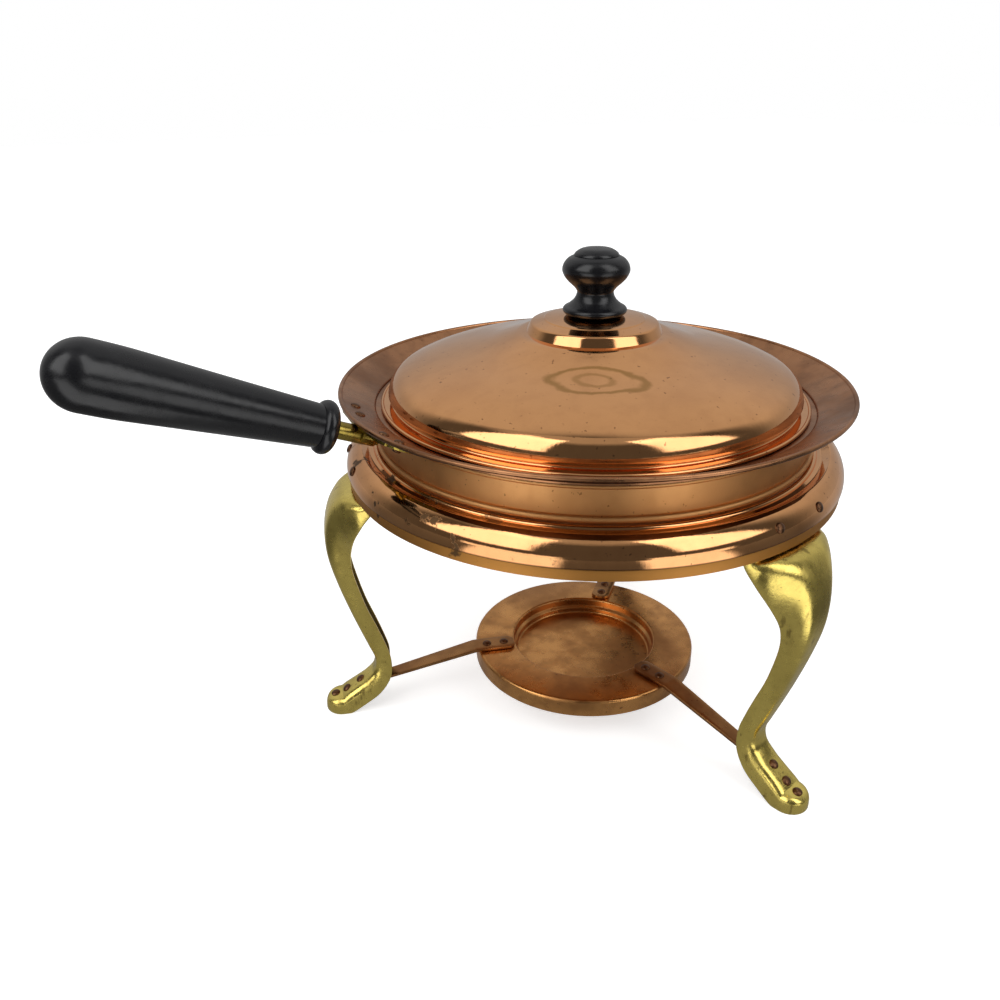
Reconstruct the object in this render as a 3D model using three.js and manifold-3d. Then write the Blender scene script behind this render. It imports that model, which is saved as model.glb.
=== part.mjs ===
// Chafing dish: a lidded food pan with a side handle stands in a water pan, and both hang in the ring
// of a three-legged stand with a burner tray. Millimetres, +Z up. While the pieces are made, the floor
// is z = 0, the dish axis is the z axis and the handle points to -X.
import * as THREE from 'three';
import { mergeVertices } from 'three/addons/utils/BufferGeometryUtils.js';
import Module from 'manifold-3d';

const wasm = await Module();
wasm.setup();

// Driving dimensions
const dishRadius = 140; // outer edge of the food pan's rim
const rimWidth = 21.5; // from the rim's edge in to the outside of the water pan's wall
const standHeight = 148.1; // floor to the lower lip of the stand ring
const sheet = 1.2; // spun copper sheet
const gap = 0.3; // clearance between pieces that touch
const overrun = 4; // how far a cut runs past what it cuts
const legCount = 3;
const legAzimuth = THREE.MathUtils.degToRad(43.2); // first leg, seen from above, handle at 180 degrees
const waterWallRadius = dishRadius - rimWidth;

// Facets of the turned pieces
const shellSides = 36;
const traySides = 24;
const handleSides = 16;
const rivetSides = 8;

// Finishes
const copper = () => new THREE.MeshStandardMaterial({ color: 0xc98a5e, roughness: 0.22, metalness: 1 });
const darkCopper = () => new THREE.MeshStandardMaterial({ color: 0x9c6a4a, roughness: 0.4, metalness: 1 });
const brass = () => new THREE.MeshStandardMaterial({ color: 0xb8a24a, roughness: 0.28, metalness: 1 });
const rivetMetal = () => new THREE.MeshStandardMaterial({ color: 0x7a5138, roughness: 0.45, metalness: 1 });
const blackWood = () => new THREE.MeshStandardMaterial({ color: 0x17191b, roughness: 0.38, metalness: 0 });

// Shared vertices are merged and the triangles that closed up to a line at a pole are dropped.
function weld(geometry) {
  geometry.deleteAttribute('normal');
  geometry.deleteAttribute('uv');
  const welded = mergeVertices(geometry);
  const corners = welded.index.array;
  const kept = [];
  for (let i = 0; i < corners.length; i += 3) {
    const [a, b, c] = corners.slice(i, i + 3);
    if (a !== b && b !== c && c !== a) {
      kept.push(a, b, c);
    }
  }
  welded.setIndex(kept);
  return welded;
}

// A closed three.js geometry as a solid that can be cut and joined.
function solidFrom(geometry) {
  const welded = weld(geometry);
  const mesh = new wasm.Mesh({
    numProp: 3,
    vertProperties: new Float32Array(welded.attributes.position.array),
    triVerts: new Uint32Array(welded.index.array),
  });
  mesh.merge();
  return new wasm.Manifold(mesh);
}

function geometryFrom(solid) {
  const mesh = solid.getMesh();
  const geometry = new THREE.BufferGeometry();
  geometry.setAttribute('position', new THREE.BufferAttribute(new Float32Array(mesh.vertProperties), 3));
  geometry.setIndex(new THREE.BufferAttribute(new Uint32Array(mesh.triVerts), 1));
  geometry.computeVertexNormals();
  return geometry;
}

function addPiece(parent, name, solid, material) {
  const mesh = new THREE.Mesh(geometryFrom(solid), material);
  mesh.name = name;
  parent.add(mesh);
  return mesh;
}

// A profile of [radius, height] points, anticlockwise, turned about the z axis.
function turned(profile, sides, startAngle = 0) {
  const points = profile.map(([radius, height]) => new THREE.Vector2(radius, height));
  const loop = points[0].x > 0 || points.at(-1).x > 0;
  if (loop) {
    points.push(points[0].clone());
  }
  const geometry = new THREE.LatheGeometry(points, sides);
  geometry.rotateX(Math.PI / 2);
  geometry.rotateZ(startAngle);
  return solidFrom(geometry);
}

// An outline in the xy plane, raised from one height to another.
function raised(outline, low, high) {
  const shape = new THREE.Shape(outline.map(([x, y]) => new THREE.Vector2(x, y)));
  const geometry = new THREE.ExtrudeGeometry(shape, { depth: high - low, bevelEnabled: false });
  geometry.translate(0, 0, low);
  return solidFrom(geometry);
}

// An outline in the plane of radius (x) and height (z), extruded to both sides of that plane.
function stripAcross(outline, halfWidth) {
  const shape = new THREE.Shape(outline.map(([x, z]) => new THREE.Vector2(x, z)));
  const geometry = new THREE.ExtrudeGeometry(shape, { depth: 2 * halfWidth, bevelEnabled: false });
  geometry.translate(0, 0, -halfWidth);
  geometry.rotateX(Math.PI / 2);
  return solidFrom(geometry);
}

// A rod along z, from one height to another.
function rod(radius, low, high, sides) {
  const geometry = new THREE.CylinderGeometry(radius, radius, high - low, sides);
  geometry.rotateX(Math.PI / 2);
  geometry.translate(0, 0, (low + high) / 2);
  return solidFrom(geometry);
}

// Points of an ellipse in the plane of radius and height, from one angle to another in degrees.
function arc(centre, radiusOut, radiusUp, from, to, steps) {
  return Array.from({ length: steps + 1 }, (_, i) => {
    const angle = THREE.MathUtils.degToRad(from + ((to - from) * i) / steps);
    return [centre[0] + radiusOut * Math.cos(angle), centre[1] + radiusUp * Math.sin(angle)];
  });
}

// An open line of [x, y, cornerRadius] points with its corners rounded in two steps.
function rounded(corners) {
  const filletSteps = 2;
  const line = [];
  corners.forEach(([x, y, radius], i) => {
    const corner = new THREE.Vector2(x, y);
    if (!radius) {
      line.push([x, y]);
      return;
    }
    const before = new THREE.Vector2(...corners[i - 1]).sub(corner).normalize();
    const after = new THREE.Vector2(...corners[i + 1]).sub(corner).normalize();
    const half = Math.acos(THREE.MathUtils.clamp(before.dot(after), -1, 1)) / 2;
    const reach = radius / Math.tan(half);
    const middle = before.clone().add(after).normalize().multiplyScalar(radius / Math.sin(half)).add(corner);
    const start = before.clone().multiplyScalar(reach).add(corner).sub(middle);
    const finish = after.clone().multiplyScalar(reach).add(corner).sub(middle);
    const turn = Math.atan2(start.cross(finish), start.dot(finish));
    for (let step = 0; step <= filletSteps; step += 1) {
      const point = start.clone().rotateAround(new THREE.Vector2(), (turn * step) / filletSteps).add(middle);
      line.push([point.x, point.y]);
    }
  });
  return line;
}

// The line moved to its left by a distance, with mitred corners.
function leftOf(line, distance) {
  const points = line.map(([x, y]) => new THREE.Vector2(x, y));
  const leftNormal = (i) => {
    const along = points[i + 1].clone().sub(points[i]).normalize();
    return new THREE.Vector2(-along.y, along.x);
  };
  return points.map((point, i) => {
    const before = leftNormal(Math.max(i - 1, 0));
    const after = leftNormal(Math.min(i, points.length - 2));
    const normal = before.add(after).normalize();
    const moved = normal.clone().multiplyScalar(distance / normal.dot(after)).add(point);
    return [moved.x, moved.y];
  });
}

// A bead round the end of a sheet: an arc from one face to the other, centred between them.
function bead(faceEnd, otherEnd, outwards, radius, thickness) {
  const beadSteps = 6;
  const centre = new THREE.Vector2(...faceEnd).add(new THREE.Vector2(...otherEnd)).multiplyScalar(1 / 2);
  const reach = Math.PI - Math.asin(thickness / 2 / radius);
  return Array.from({ length: beadSteps + 1 }, (_, i) => {
    const angle = -reach + (2 * reach * i) / beadSteps;
    const spoke = outwards.clone().rotateAround(new THREE.Vector2(), angle);
    const point = spoke.multiplyScalar(radius).add(centre);
    return [point.x, point.y];
  });
}

// Closed profile of a spun sheet. The face runs anticlockwise round the outside, the sheet lies to its
// left, and either end may have a rolled bead, whose centre is then where the sheet ends.
function sheetProfile(face, thickness, startBead = 0, endBead = 0) {
  const other = leftOf(face, thickness);
  const last = face.length - 1;
  const direction = (from, to) => new THREE.Vector2(to[0] - from[0], to[1] - from[1]).normalize();
  const profile = face.slice(startBead ? 1 : 0, endBead ? last : last + 1);
  if (endBead) {
    profile.push(...bead(face[last], other[last], direction(face[last - 1], face[last]), endBead, thickness));
  }
  profile.push(...other.slice(startBead ? 1 : 0, endBead ? last : last + 1).reverse());
  if (startBead) {
    profile.push(...bead(other[0], face[0], direction(face[1], face[0]), startBead, thickness));
  }
  return profile;
}

// Rivets: a domed head, a shank with play in its holes and a flatter set head on the far side.
const rivetHeadRadius = 2.7;
const rivetHeadHeight = 1.3;
const rivetShankRadius = 1.6;
const rivetTailRadius = 2.3;
const rivetTailHeight = 0.9;
const rivetHoleRadius = rivetShankRadius + gap;

// The head sits on z = 0 and the shank runs down through the stack of sheets to the tail.
function rivet(stack) {
  const headTopShare = 0.55;
  const tailTop = -stack;
  const profile = [
    [0, tailTop - rivetTailHeight],
    [rivetTailRadius * headTopShare, tailTop - rivetTailHeight],
    [rivetTailRadius, tailTop],
    [rivetShankRadius, tailTop],
    [rivetShankRadius, 0],
    [rivetHeadRadius, 0],
    [rivetHeadRadius * headTopShare, rivetHeadHeight],
    [0, rivetHeadHeight],
  ];
  return turned(profile, rivetSides);
}

// Puts a solid's z axis on a place [out, across, up], leaning outwards by an angle.
function placed(solid, [out, across, up], lean = 0) {
  return solid.rotate([0, THREE.MathUtils.radToDeg(lean), 0]).translate([out, across, up]);
}

function hole(stack, place, lean = 0) {
  const drill = rod(rivetHoleRadius, -stack - overrun, overrun, rivetSides);
  return placed(drill, place, lean);
}

function addRivet(parent, name, stack, place, lean, azimuth = 0) {
  const turn = new THREE.Group();
  turn.rotation.z = azimuth;
  const mesh = addPiece(turn, name, rivet(stack), rivetMetal());
  mesh.position.set(...place);
  mesh.rotation.y = lean;
  parent.add(turn);
}

// Stand ring: an inner roll that carries the water pan, a shelf, a bulge and a lip for the legs.
const panPlay = 1.1;
const ringRollRadius = 1.7;
const ringRollPlace = waterWallRadius + panPlay + ringRollRadius;
const shelfWidth = 6.7;
const shelfRise = 1.1;
const bulgeOut = 10;
const bulgeUp = 9;
const bulgeLowAngle = -28;
const bulgeSteps = 6;
const lipInset = 2.5;
const lipBand = 4.4;
const creaseInset = 0.3;
const creaseHeight = 0.8;
const bulgeRadius = ringRollPlace + shelfWidth;
const bulgeSag = bulgeUp * Math.sin(THREE.MathUtils.degToRad(-bulgeLowAngle));
const bulgeHeight = standHeight + lipBand + creaseHeight + bulgeSag;
const lipRadius = bulgeRadius + bulgeOut - lipInset;
const ringRollHeight = bulgeHeight + bulgeUp + shelfRise;

function standRing() {
  const face = [
    [lipRadius, standHeight],
    [lipRadius, standHeight + lipBand],
    [lipRadius - creaseInset, standHeight + lipBand + creaseHeight],
    ...arc([bulgeRadius, bulgeHeight], bulgeOut, bulgeUp, bulgeLowAngle, 90, bulgeSteps),
    [ringRollPlace, ringRollHeight],
  ];
  return turned(sheetProfile(face, sheet, 0, ringRollRadius), shellSides, -legAzimuth);
}

// Two rivets hold each leg's tab to the bulge, square to its slope.
const ringRivetAngle = THREE.MathUtils.degToRad(45);
const ringRivetSpread = 16.8;
const ringRivetTurn = Math.asin(ringRivetSpread / (bulgeRadius + bulgeOut));
const legWall = 1.6;
const ringRivetSag = 0.9; // how far the tab's hollow face rises round the rivet's tail
const ringRivetStack = sheet + legWall + ringRivetSag + 3 * gap;
const ringRivetLean = Math.atan2(Math.cos(ringRivetAngle) * bulgeUp, Math.sin(ringRivetAngle) * bulgeOut);
const ringRivetPlace = [
  bulgeRadius + bulgeOut * Math.cos(ringRivetAngle) + gap * Math.sin(ringRivetLean),
  0,
  bulgeHeight + bulgeUp * Math.sin(ringRivetAngle) + gap * Math.cos(ringRivetLean),
];

// Legs: pressed brass channels, open at the back and underneath, with an S shape from the ring's lip
// over the knee to the ankle and a foot that turns outwards. Sizes are taken from the front line.
const legTopRadius = lipRadius - sheet - 2 * creaseInset - 2 * gap;
const kneeOut = 20.5;
const ankleHeight = 34;
const toeOut = 29.8;
const legTopHalf = 29.3;
const footHalf = 10.3;
const footHeight = 10;
const sectionSteps = 6;
const sectionSquareness = 0.6;
const tabReachAngle = 66;
const tabInset = 2;
const tabHalf = legTopHalf - tabInset;

// Shares of kneeOut, of the height from ankle to lip, and of legTopHalf, from the ring down to the ankle:
// front out, front up, back out, back up, half width.
const shankShares = [
  [-0.024, 1.025, -0.371, 1.025, 0.956],
  [0, 0.998, -0.322, 0.96, 1],
  [0.229, 0.996, -0.005, 0.881, 0.949],
  [0.541, 0.973, 0.268, 0.78, 0.751],
  [0.834, 0.899, 0.36, 0.697, 0.553],
  [0.995, 0.779, 0.37, 0.631, 0.43],
  [0.98, 0.639, 0.34, 0.552, 0.362],
  [0.8, 0.487, 0.21, 0.447, 0.304],
  [0.54, 0.327, 0.016, 0.32, 0.266],
  [0.285, 0.189, -0.222, 0.201, 0.246],
  [0.06, 0.076, -0.43, 0.088, 0.239],
  [-0.083, 0, -0.551, -0.005, 0.256],
];

// Shares of toeOut, of ankleHeight and of footHalf, from the ankle to where the toe starts to round.
const footShares = [
  [-0.023, 0.765, -0.346, 0.653, 0.854],
  [0.148, 0.6, -0.124, 0.362, 0.951],
  [0.329, 0.494, 0.211, 0.147, 0.971],
  [0.517, 0.388, 0.51, 0, 1],
];
const toeAngles = [0, 35, 60, 78];

// Stations of the leg as front and back points [out, up] and a half width, moved inwards by an inset.
function legStations(inset) {
  const rise = standHeight - ankleHeight;
  const station = (front, back, half) => {
    const inwards = new THREE.Vector2(back[0] - front[0], back[1] - front[1]).setLength(inset);
    return { front: [front[0] + inwards.x, front[1] + inwards.y], back, half: half - inset };
  };
  const shank = shankShares.map(([frontOut, frontUp, backOut, backUp, half]) => station(
    [legTopRadius + frontOut * kneeOut, ankleHeight + frontUp * rise],
    [legTopRadius + backOut * kneeOut, ankleHeight + backUp * rise],
    half * legTopHalf,
  ));
  const foot = footShares.map(([frontOut, frontUp, backOut, backUp, half]) => station(
    [legTopRadius + frontOut * toeOut, frontUp * ankleHeight],
    [legTopRadius + backOut * toeOut, backUp * ankleHeight],
    half * footHalf,
  ));
  const toeStart = legTopRadius + toeOut - footHalf;
  const toe = toeAngles.map((degrees) => {
    const angle = THREE.MathUtils.degToRad(degrees);
    const out = toeStart + (footHalf - inset) * Math.sin(angle);
    const shrink = Math.sqrt(Math.cos(angle));
    return {
      front: [out, (footHeight - inset) * shrink],
      back: [out, 0],
      half: (footHalf - inset) * Math.cos(angle),
    };
  });
  return [...shank, ...foot, ...toe];
}

// One cross-section: a round-fronted channel outline from its left edge over the front to its right
// edge, with its back edges lengthened by an extra reach.
function legSection({ front, back, half }, backReach) {
  const out = [front[0] - back[0], front[1] - back[1]];
  const depth = Math.hypot(...out);
  const section = [];
  for (let step = 0; step <= sectionSteps; step += 1) {
    const angle = Math.PI * (step / sectionSteps - 1 / 2);
    const forward = Math.max(Math.cos(angle), 0) ** sectionSquareness;
    const across = Math.sign(Math.sin(angle)) * Math.abs(Math.sin(angle)) ** sectionSquareness;
    section.push([back[0] + out[0] * forward, half * across, back[1] + out[1] * forward]);
  }
  if (backReach) {
    const behind = [back[0] - (out[0] / depth) * backReach, back[1] - (out[1] / depth) * backReach];
    section.unshift([behind[0], -half, behind[1]]);
    section.push([behind[0], half, behind[1]]);
  }
  return section;
}

// Sections joined side to side into a closed solid with flat ends.
function loft(sections) {
  const size = sections[0].length;
  const index = [];
  for (let s = 0; s + 1 < sections.length; s += 1) {
    for (let i = 0; i < size; i += 1) {
      const here = s * size + i;
      const next = s * size + ((i + 1) % size);
      index.push(here, here + size, next, next, here + size, next + size);
    }
  }
  const last = (sections.length - 1) * size;
  for (let i = 1; i + 1 < size; i += 1) {
    index.push(0, i, i + 1);
    index.push(last, last + i + 1, last + i);
  }
  const geometry = new THREE.BufferGeometry();
  geometry.setAttribute('position', new THREE.BufferAttribute(new Float32Array(sections.flat(2)), 3));
  geometry.setIndex(index);
  return solidFrom(geometry);
}

// The part of a leg inside the ring: a strip that follows the ring's inner face up to its rivets.
function legTab() {
  const fromRing = sheet + gap;
  const tabLowAngle = 10;
  const tabSteps = 4;
  const clearOfCrease = standHeight + lipBand + creaseHeight + sheet + 2 * gap;
  const bulgeCentre = [bulgeRadius, bulgeHeight];
  const face = [
    [legTopRadius, standHeight - overrun],
    [legTopRadius, clearOfCrease],
    ...arc(bulgeCentre, bulgeOut - fromRing, bulgeUp - fromRing, tabLowAngle, tabReachAngle, tabSteps),
  ];
  const strip = turned(sheetProfile(face, legWall), shellSides, -legAzimuth);
  const plan = raised([
    [0, -tabHalf],
    [dishRadius, -tabHalf],
    [dishRadius, tabHalf],
    [0, tabHalf],
  ], 0, ringRollHeight);
  return strip.intersect(plan);
}

// Foot rivets stand square to the top of the foot and pass through the strap's end under it.
const footRivetShares = [0.27, 0.56, 0.79];

// Place and lean of the foot's top, at a share of the way from the leg's top radius to the toe.
function footTop(share) {
  const line = legStations(0).slice(shankShares.length - 1).map(({ front }) => front);
  const out = legTopRadius + share * toeOut;
  const next = line.findIndex(([place]) => place > out);
  const [outA, upA] = line[next - 1];
  const [outB, upB] = line[next];
  const along = (out - outA) / (outB - outA);
  return { place: [out, 0, upA + along * (upB - upA)], lean: Math.atan2(upA - upB, outB - outA) };
}

// Straps: flat copper strips from the tray down to the feet, each with its end inside the foot.
const strapThickness = 2;
const strapHalf = 5.8;
const strapTongueHalf = 3.8;
const strapDrop = 1.3; // below the crown of the foot's inside, where the tongue's edges clear it
const trayHeight = 30;
const trayRadius = 67.8;
const trayFlatWidth = 24.3; // from the tray's edge in to its recess
const recessRadius = trayRadius - trayFlatWidth;
const strapRecessMargin = 1.5;
const strapInnerRadius = recessRadius + strapRecessMargin;
const strapTrayMargin = 1.7;
const strapBendPlace = trayRadius + strapTrayMargin; // where the strap turns down
const strapBendRadius = 9;
const strapTaperLength = 9;
const strapTongueInset = 12; // from the leg's top radius in to where the tongue starts
const footRivetStack = legWall + strapDrop + strapThickness + 5 * gap;

// Lower face of the strap, from the tray to its end inside the foot, as points [out, up].
function strapLine() {
  const under = legWall + gap + strapDrop + strapThickness;
  const underFoot = footRivetShares.map((share) => {
    const { place, lean } = footTop(share);
    return [place[0] - under * Math.sin(lean), place[2] - under * Math.cos(lean)];
  });
  const [first, middle, last] = underFoot;
  const endShare = 0.35; // how far the strap keeps to the foot past its first and last rivets
  const past = (from, to) => to.map((value, i) => value + endShare * (value - from[i]));
  return [
    [strapInnerRadius, trayHeight + gap, 0],
    [strapBendPlace, trayHeight + gap, strapBendRadius],
    [...past(middle, first), strapBendRadius],
    [...middle, 0],
    [...last, 0],
    [...past(middle, last), 0],
  ];
}

const trayRivetInner = 16.5; // from the tray's edge
const trayRivetOuter = 5.8;
const trayRivetRadii = [trayRadius - trayRivetInner, trayRadius - trayRivetOuter];
const trayRivetStack = strapThickness + sheet + 3 * gap;

function strap() {
  const lower = rounded(strapLine());
  const strip = stripAcross([...lower, ...leftOf(lower, strapThickness).reverse()], strapHalf);
  const endRadius = lower.at(-1)[0];
  const taperEnd = legTopRadius - strapTongueInset;
  const plan = raised([
    [strapInnerRadius, -strapHalf / 2],
    [strapInnerRadius + strapHalf / 2, -strapHalf],
    [taperEnd - strapTaperLength, -strapHalf],
    [taperEnd, -strapTongueHalf],
    [endRadius + overrun, -strapTongueHalf],
    [endRadius + overrun, strapTongueHalf],
    [taperEnd, strapTongueHalf],
    [taperEnd - strapTaperLength, strapHalf],
    [strapInnerRadius + strapHalf / 2, strapHalf],
    [strapInnerRadius, strapHalf / 2],
  ], -overrun, trayHeight + overrun);
  let solid = strip.intersect(plan);
  for (const radius of trayRivetRadii) {
    solid = solid.subtract(hole(trayRivetStack, [radius, 0, trayHeight + strapThickness]));
  }
  for (const share of footRivetShares) {
    const { place, lean } = footTop(share);
    solid = solid.subtract(hole(footRivetStack, place, lean));
  }
  return solid;
}

function leg() {
  const outside = loft(legStations(0).map((station) => legSection(station, 0)));
  const inside = loft(legStations(legWall).map((station) => legSection(station, overrun)));
  const topOpening = raised([
    [0, -legTopHalf],
    [legTopRadius - legWall, -legTopHalf],
    [legTopRadius - legWall, legTopHalf],
    [0, legTopHalf],
  ], standHeight, standHeight + lipBand);
  const clearOfRing = turned([
    [legTopRadius, standHeight - gap],
    [dishRadius, standHeight - gap],
    [dishRadius, ringRollHeight],
    [legTopRadius, ringRollHeight],
  ], shellSides, -legAzimuth);
  let solid = outside.subtract(inside).subtract(topOpening).subtract(clearOfRing).add(legTab());
  for (const side of [-1, 1]) {
    const drill = hole(ringRivetStack, ringRivetPlace, ringRivetLean);
    solid = solid.subtract(drill.rotate([0, 0, THREE.MathUtils.radToDeg(side * ringRivetTurn)]));
  }
  for (const share of footRivetShares) {
    const { place, lean } = footTop(share);
    solid = solid.subtract(hole(footRivetStack, place, lean));
  }
  return solid;
}

// Burner tray: a flat top with a recess for a burner and a skirt round the edge.
const trayEdgeRadius = 2;
const traySkirt = 10.3;
const recessDepth = 10;
const recessLip = 1.5;
const recessStepWidth = 1.6;
const recessStepHeight = 5;

function burnerTray() {
  const recessFloor = trayHeight - recessDepth;
  const face = rounded([
    [trayRadius, trayHeight - traySkirt, 0],
    [trayRadius, trayHeight, trayEdgeRadius],
    [recessRadius, trayHeight, recessLip],
    [recessRadius, recessFloor + recessStepHeight, 0],
    [recessRadius - recessStepWidth, recessFloor + recessStepHeight - recessStepWidth, 0],
    [recessRadius - recessStepWidth, recessFloor, recessLip],
    [0, recessFloor, 0],
  ]);
  let solid = turned(sheetProfile(face, sheet), traySides);
  for (let i = 0; i < legCount; i += 1) {
    for (const radius of trayRivetRadii) {
      const drill = hole(trayRivetStack, [radius, 0, trayHeight]);
      solid = solid.subtract(drill.rotate([0, 0, (360 / legCount) * i]));
    }
  }
  return solid;
}

// Water pan: a straight wall with a swaged bead that hangs on the ring's roll, and a rolled edge.
const swageRadius = 1.9;
const swageOut = 0.4;
const waterRollRadius = 1.3;
const waterWallUpper = 15.9;
const waterDepth = 33.3;
const waterCorner = 12;
const swageReach = ringRollRadius + swageRadius + gap;
const swageApart = ringRollPlace - waterWallRadius - swageOut;
const swageHeight = ringRollHeight + Math.sqrt(swageReach ** 2 - swageApart ** 2);
const waterRollHeight = swageHeight + waterWallUpper;
const waterFloor = swageHeight - waterDepth;
const waterWallMiddle = waterWallRadius - sheet / 2;

function waterPan() {
  const swageSteps = 4;
  const swageAngle = 78;
  const swageCentre = [waterWallRadius + swageOut, swageHeight];
  const face = [
    ...rounded([
      [0, waterFloor, 0],
      [waterWallRadius, waterFloor, waterCorner],
      [waterWallRadius, swageHeight - swageRadius, 0],
    ]),
    ...arc(swageCentre, swageRadius, swageRadius, -swageAngle, swageAngle, swageSteps),
    [waterWallRadius, swageHeight + swageRadius],
    [waterWallRadius, waterRollHeight],
  ];
  return turned(sheetProfile(face, sheet, 0, waterRollRadius), shellSides);
}

// Food pan: a tapered body inside the water pan, a ledge that rests on the water pan's rolled edge and
// carries the lid, and a wide flared rim with a rolled edge.
const foodPlay = 1.1;
const foodWallTop = waterWallMiddle - waterRollRadius - foodPlay;
const foodTaper = 6;
const foodCorner = 14;
const waterSpace = 9.3;
const ledgeBend = 1.8;
const stepOut = 2.4;
const stepRise = 1.4;
const rimRise = 8.6;
const rimBead = 1.2;
const foodFloor = waterFloor + sheet + waterSpace;
const ledgeUnder = waterRollHeight + waterRollRadius + gap;
const stepRadius = waterWallRadius + stepOut;
const rimEnd = dishRadius - rimBead;
const rimLow = ledgeUnder + stepRise;
const rimSlope = Math.atan2(rimRise, rimEnd - stepRadius);

const rimRivetInset = 9;
const rimRivetRadius = dishRadius - rimRivetInset;
const rivetNearOffset = 16.4; // across the handle
const rivetFarOffset = 29.9;
const rimRivetOffsets = [-rivetFarOffset, -rivetNearOffset, rivetNearOffset, rivetFarOffset];
const bracketThickness = 2;
const rimRivetStack = sheet + bracketThickness + 3 * gap;

// Place on the rim's upper face at a radius, lifted square to the slope.
function onRim(radius, lift) {
  const up = rimLow + (radius - stepRadius) * Math.tan(rimSlope) + sheet / Math.cos(rimSlope);
  return [radius - lift * Math.sin(rimSlope), 0, up + lift * Math.cos(rimSlope)];
}

// The bracket's rivets, made in a frame whose x axis points along the handle.
function rimHoles() {
  return rimRivetOffsets.map((offset) => {
    const drill = hole(rimRivetStack, onRim(rimRivetRadius, 0), -rimSlope);
    return drill.rotate([0, 0, 180 + THREE.MathUtils.radToDeg(Math.asin(offset / rimRivetRadius))]);
  });
}

function foodPan() {
  const face = rounded([
    [0, foodFloor, 0],
    [foodWallTop - foodTaper, foodFloor, foodCorner],
    [foodWallTop, ledgeUnder, ledgeBend],
    [stepRadius, ledgeUnder, 0],
    [stepRadius, rimLow, 0],
    [rimEnd, rimLow + rimRise, 0],
  ]);
  let solid = turned(sheetProfile(face, sheet, 0, rimBead), shellSides);
  for (const drill of rimHoles()) {
    solid = solid.subtract(drill);
  }
  return solid;
}

// Handle: a brass bracket under the rim, a rod in its saddle and a turned grip on the rod's tang.
const rodRadius = 4.5;
const rodDroop = THREE.MathUtils.degToRad(3.7); // how much flatter than the rim the rod lies
const rodSlope = rimSlope - rodDroop;
const bracketInset = 2.8;
const bracketWidth = 12.7;
const bracketOuter = dishRadius - bracketInset;
const bracketInner = bracketOuter - bracketWidth;
const rodEndInset = 4.5; // from the bracket's inner edge out to the rod's end
const rodStart = bracketInner + rodEndInset;
const collarOut = 8;
const collarRadius = dishRadius + collarOut;
const tangRadius = 3;
const tangLength = 62;
const gripLength = 131;
const saddleWall = 1.7;

// The rod's highest line stays a clearance under the bead of the rim.
const rimBeadUnder = rimLow + rimRise + sheet / 2 - rimBead;
const rodPass = rimBeadUnder - gap - rodRadius / Math.cos(rodSlope);
const rodLift = (radius) => rodPass + (radius - rimEnd) * Math.tan(rodSlope);

// Turns a solid made along z from the rod's start so that it leans outwards and up along the handle.
function alongHandle(solid, radius) {
  return solid
    .rotate([0, 90 - THREE.MathUtils.radToDeg(rodSlope), 0])
    .translate([radius, 0, rodLift(radius)])
    .rotate([0, 0, 180]);
}

const rodVisible = (collarRadius - rodStart) / Math.cos(rodSlope);

function handleRod() {
  const shoulder = rodVisible - gap;
  const profile = [
    [0, 0],
    [rodRadius, 0],
    [rodRadius, shoulder],
    [tangRadius, shoulder],
    [tangRadius, rodVisible + tangLength],
    [0, rodVisible + tangLength],
  ];
  return alongHandle(turned(profile, handleSides), rodStart);
}

function handleBracket() {
  const under = (radius, drop) => {
    const [out, , up] = onRim(radius, -sheet - gap - drop);
    return [out, up];
  };
  const plate = turned([
    under(bracketInner, bracketThickness),
    under(bracketOuter, bracketThickness),
    under(bracketOuter, 0),
    under(bracketInner, 0),
  ], shellSides);
  const endOffset = rimRivetOffsets.at(-1);
  const endPlace = [-Math.sqrt(rimRivetRadius ** 2 - endOffset ** 2), endOffset, ledgeUnder];
  const endRadius = (bracketOuter - bracketInner) / 2;
  const roundEnd = rod(endRadius, 0, rimRise + overrun, handleSides).translate(endPlace);
  const plan = raised([
    [-dishRadius, -endOffset],
    [0, -endOffset],
    [0, endOffset],
    [-dishRadius, endOffset],
  ], ledgeUnder, ledgeUnder + rimRise + overrun).add(roundEnd).add(roundEnd.mirror([0, 1, 0]));
  const belowRim = turned([
    [bracketInner, 0],
    [dishRadius, 0],
    under(dishRadius, 0),
    under(bracketInner, 0),
  ], shellSides);
  const saddleRadius = rodRadius + gap + saddleWall;
  const saddleLength = (bracketOuter - rodStart) / Math.cos(rodSlope);
  const saddle = alongHandle(rod(saddleRadius, 0, saddleLength, handleSides), rodStart);
  const upperPart = alongHandle(raised([
    [-saddleRadius - overrun, -saddleRadius - overrun],
    [rodRadius / 2, -saddleRadius - overrun],
    [rodRadius / 2, saddleRadius + overrun],
    [-saddleRadius - overrun, saddleRadius + overrun],
  ], -overrun, saddleLength + overrun), rodStart);
  const rodRoom = alongHandle(rod(rodRadius + gap, -overrun, rodVisible, handleSides), rodStart);
  let solid = plate.intersect(plan).add(saddle.intersect(upperPart)).intersect(belowRim).subtract(rodRoom);
  for (const drill of rimHoles()) {
    solid = solid.subtract(drill);
  }
  return solid;
}

// Grip: a collar bead, a neck and a taper that grows to a bulb with a round end, bored for the tang.
const gripRadius = 16;
const gripCollarRadius = 13.4;
const gripNeckRadius = 10.8;
const collarWidth = 7.5;

// Shares of the way from the collar to the bulb's centre, and of the growth from neck to bulb.
const gripShares = [
  [0.3, 0.33],
  [0.62, 0.7],
  [0.85, 0.96],
];

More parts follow.
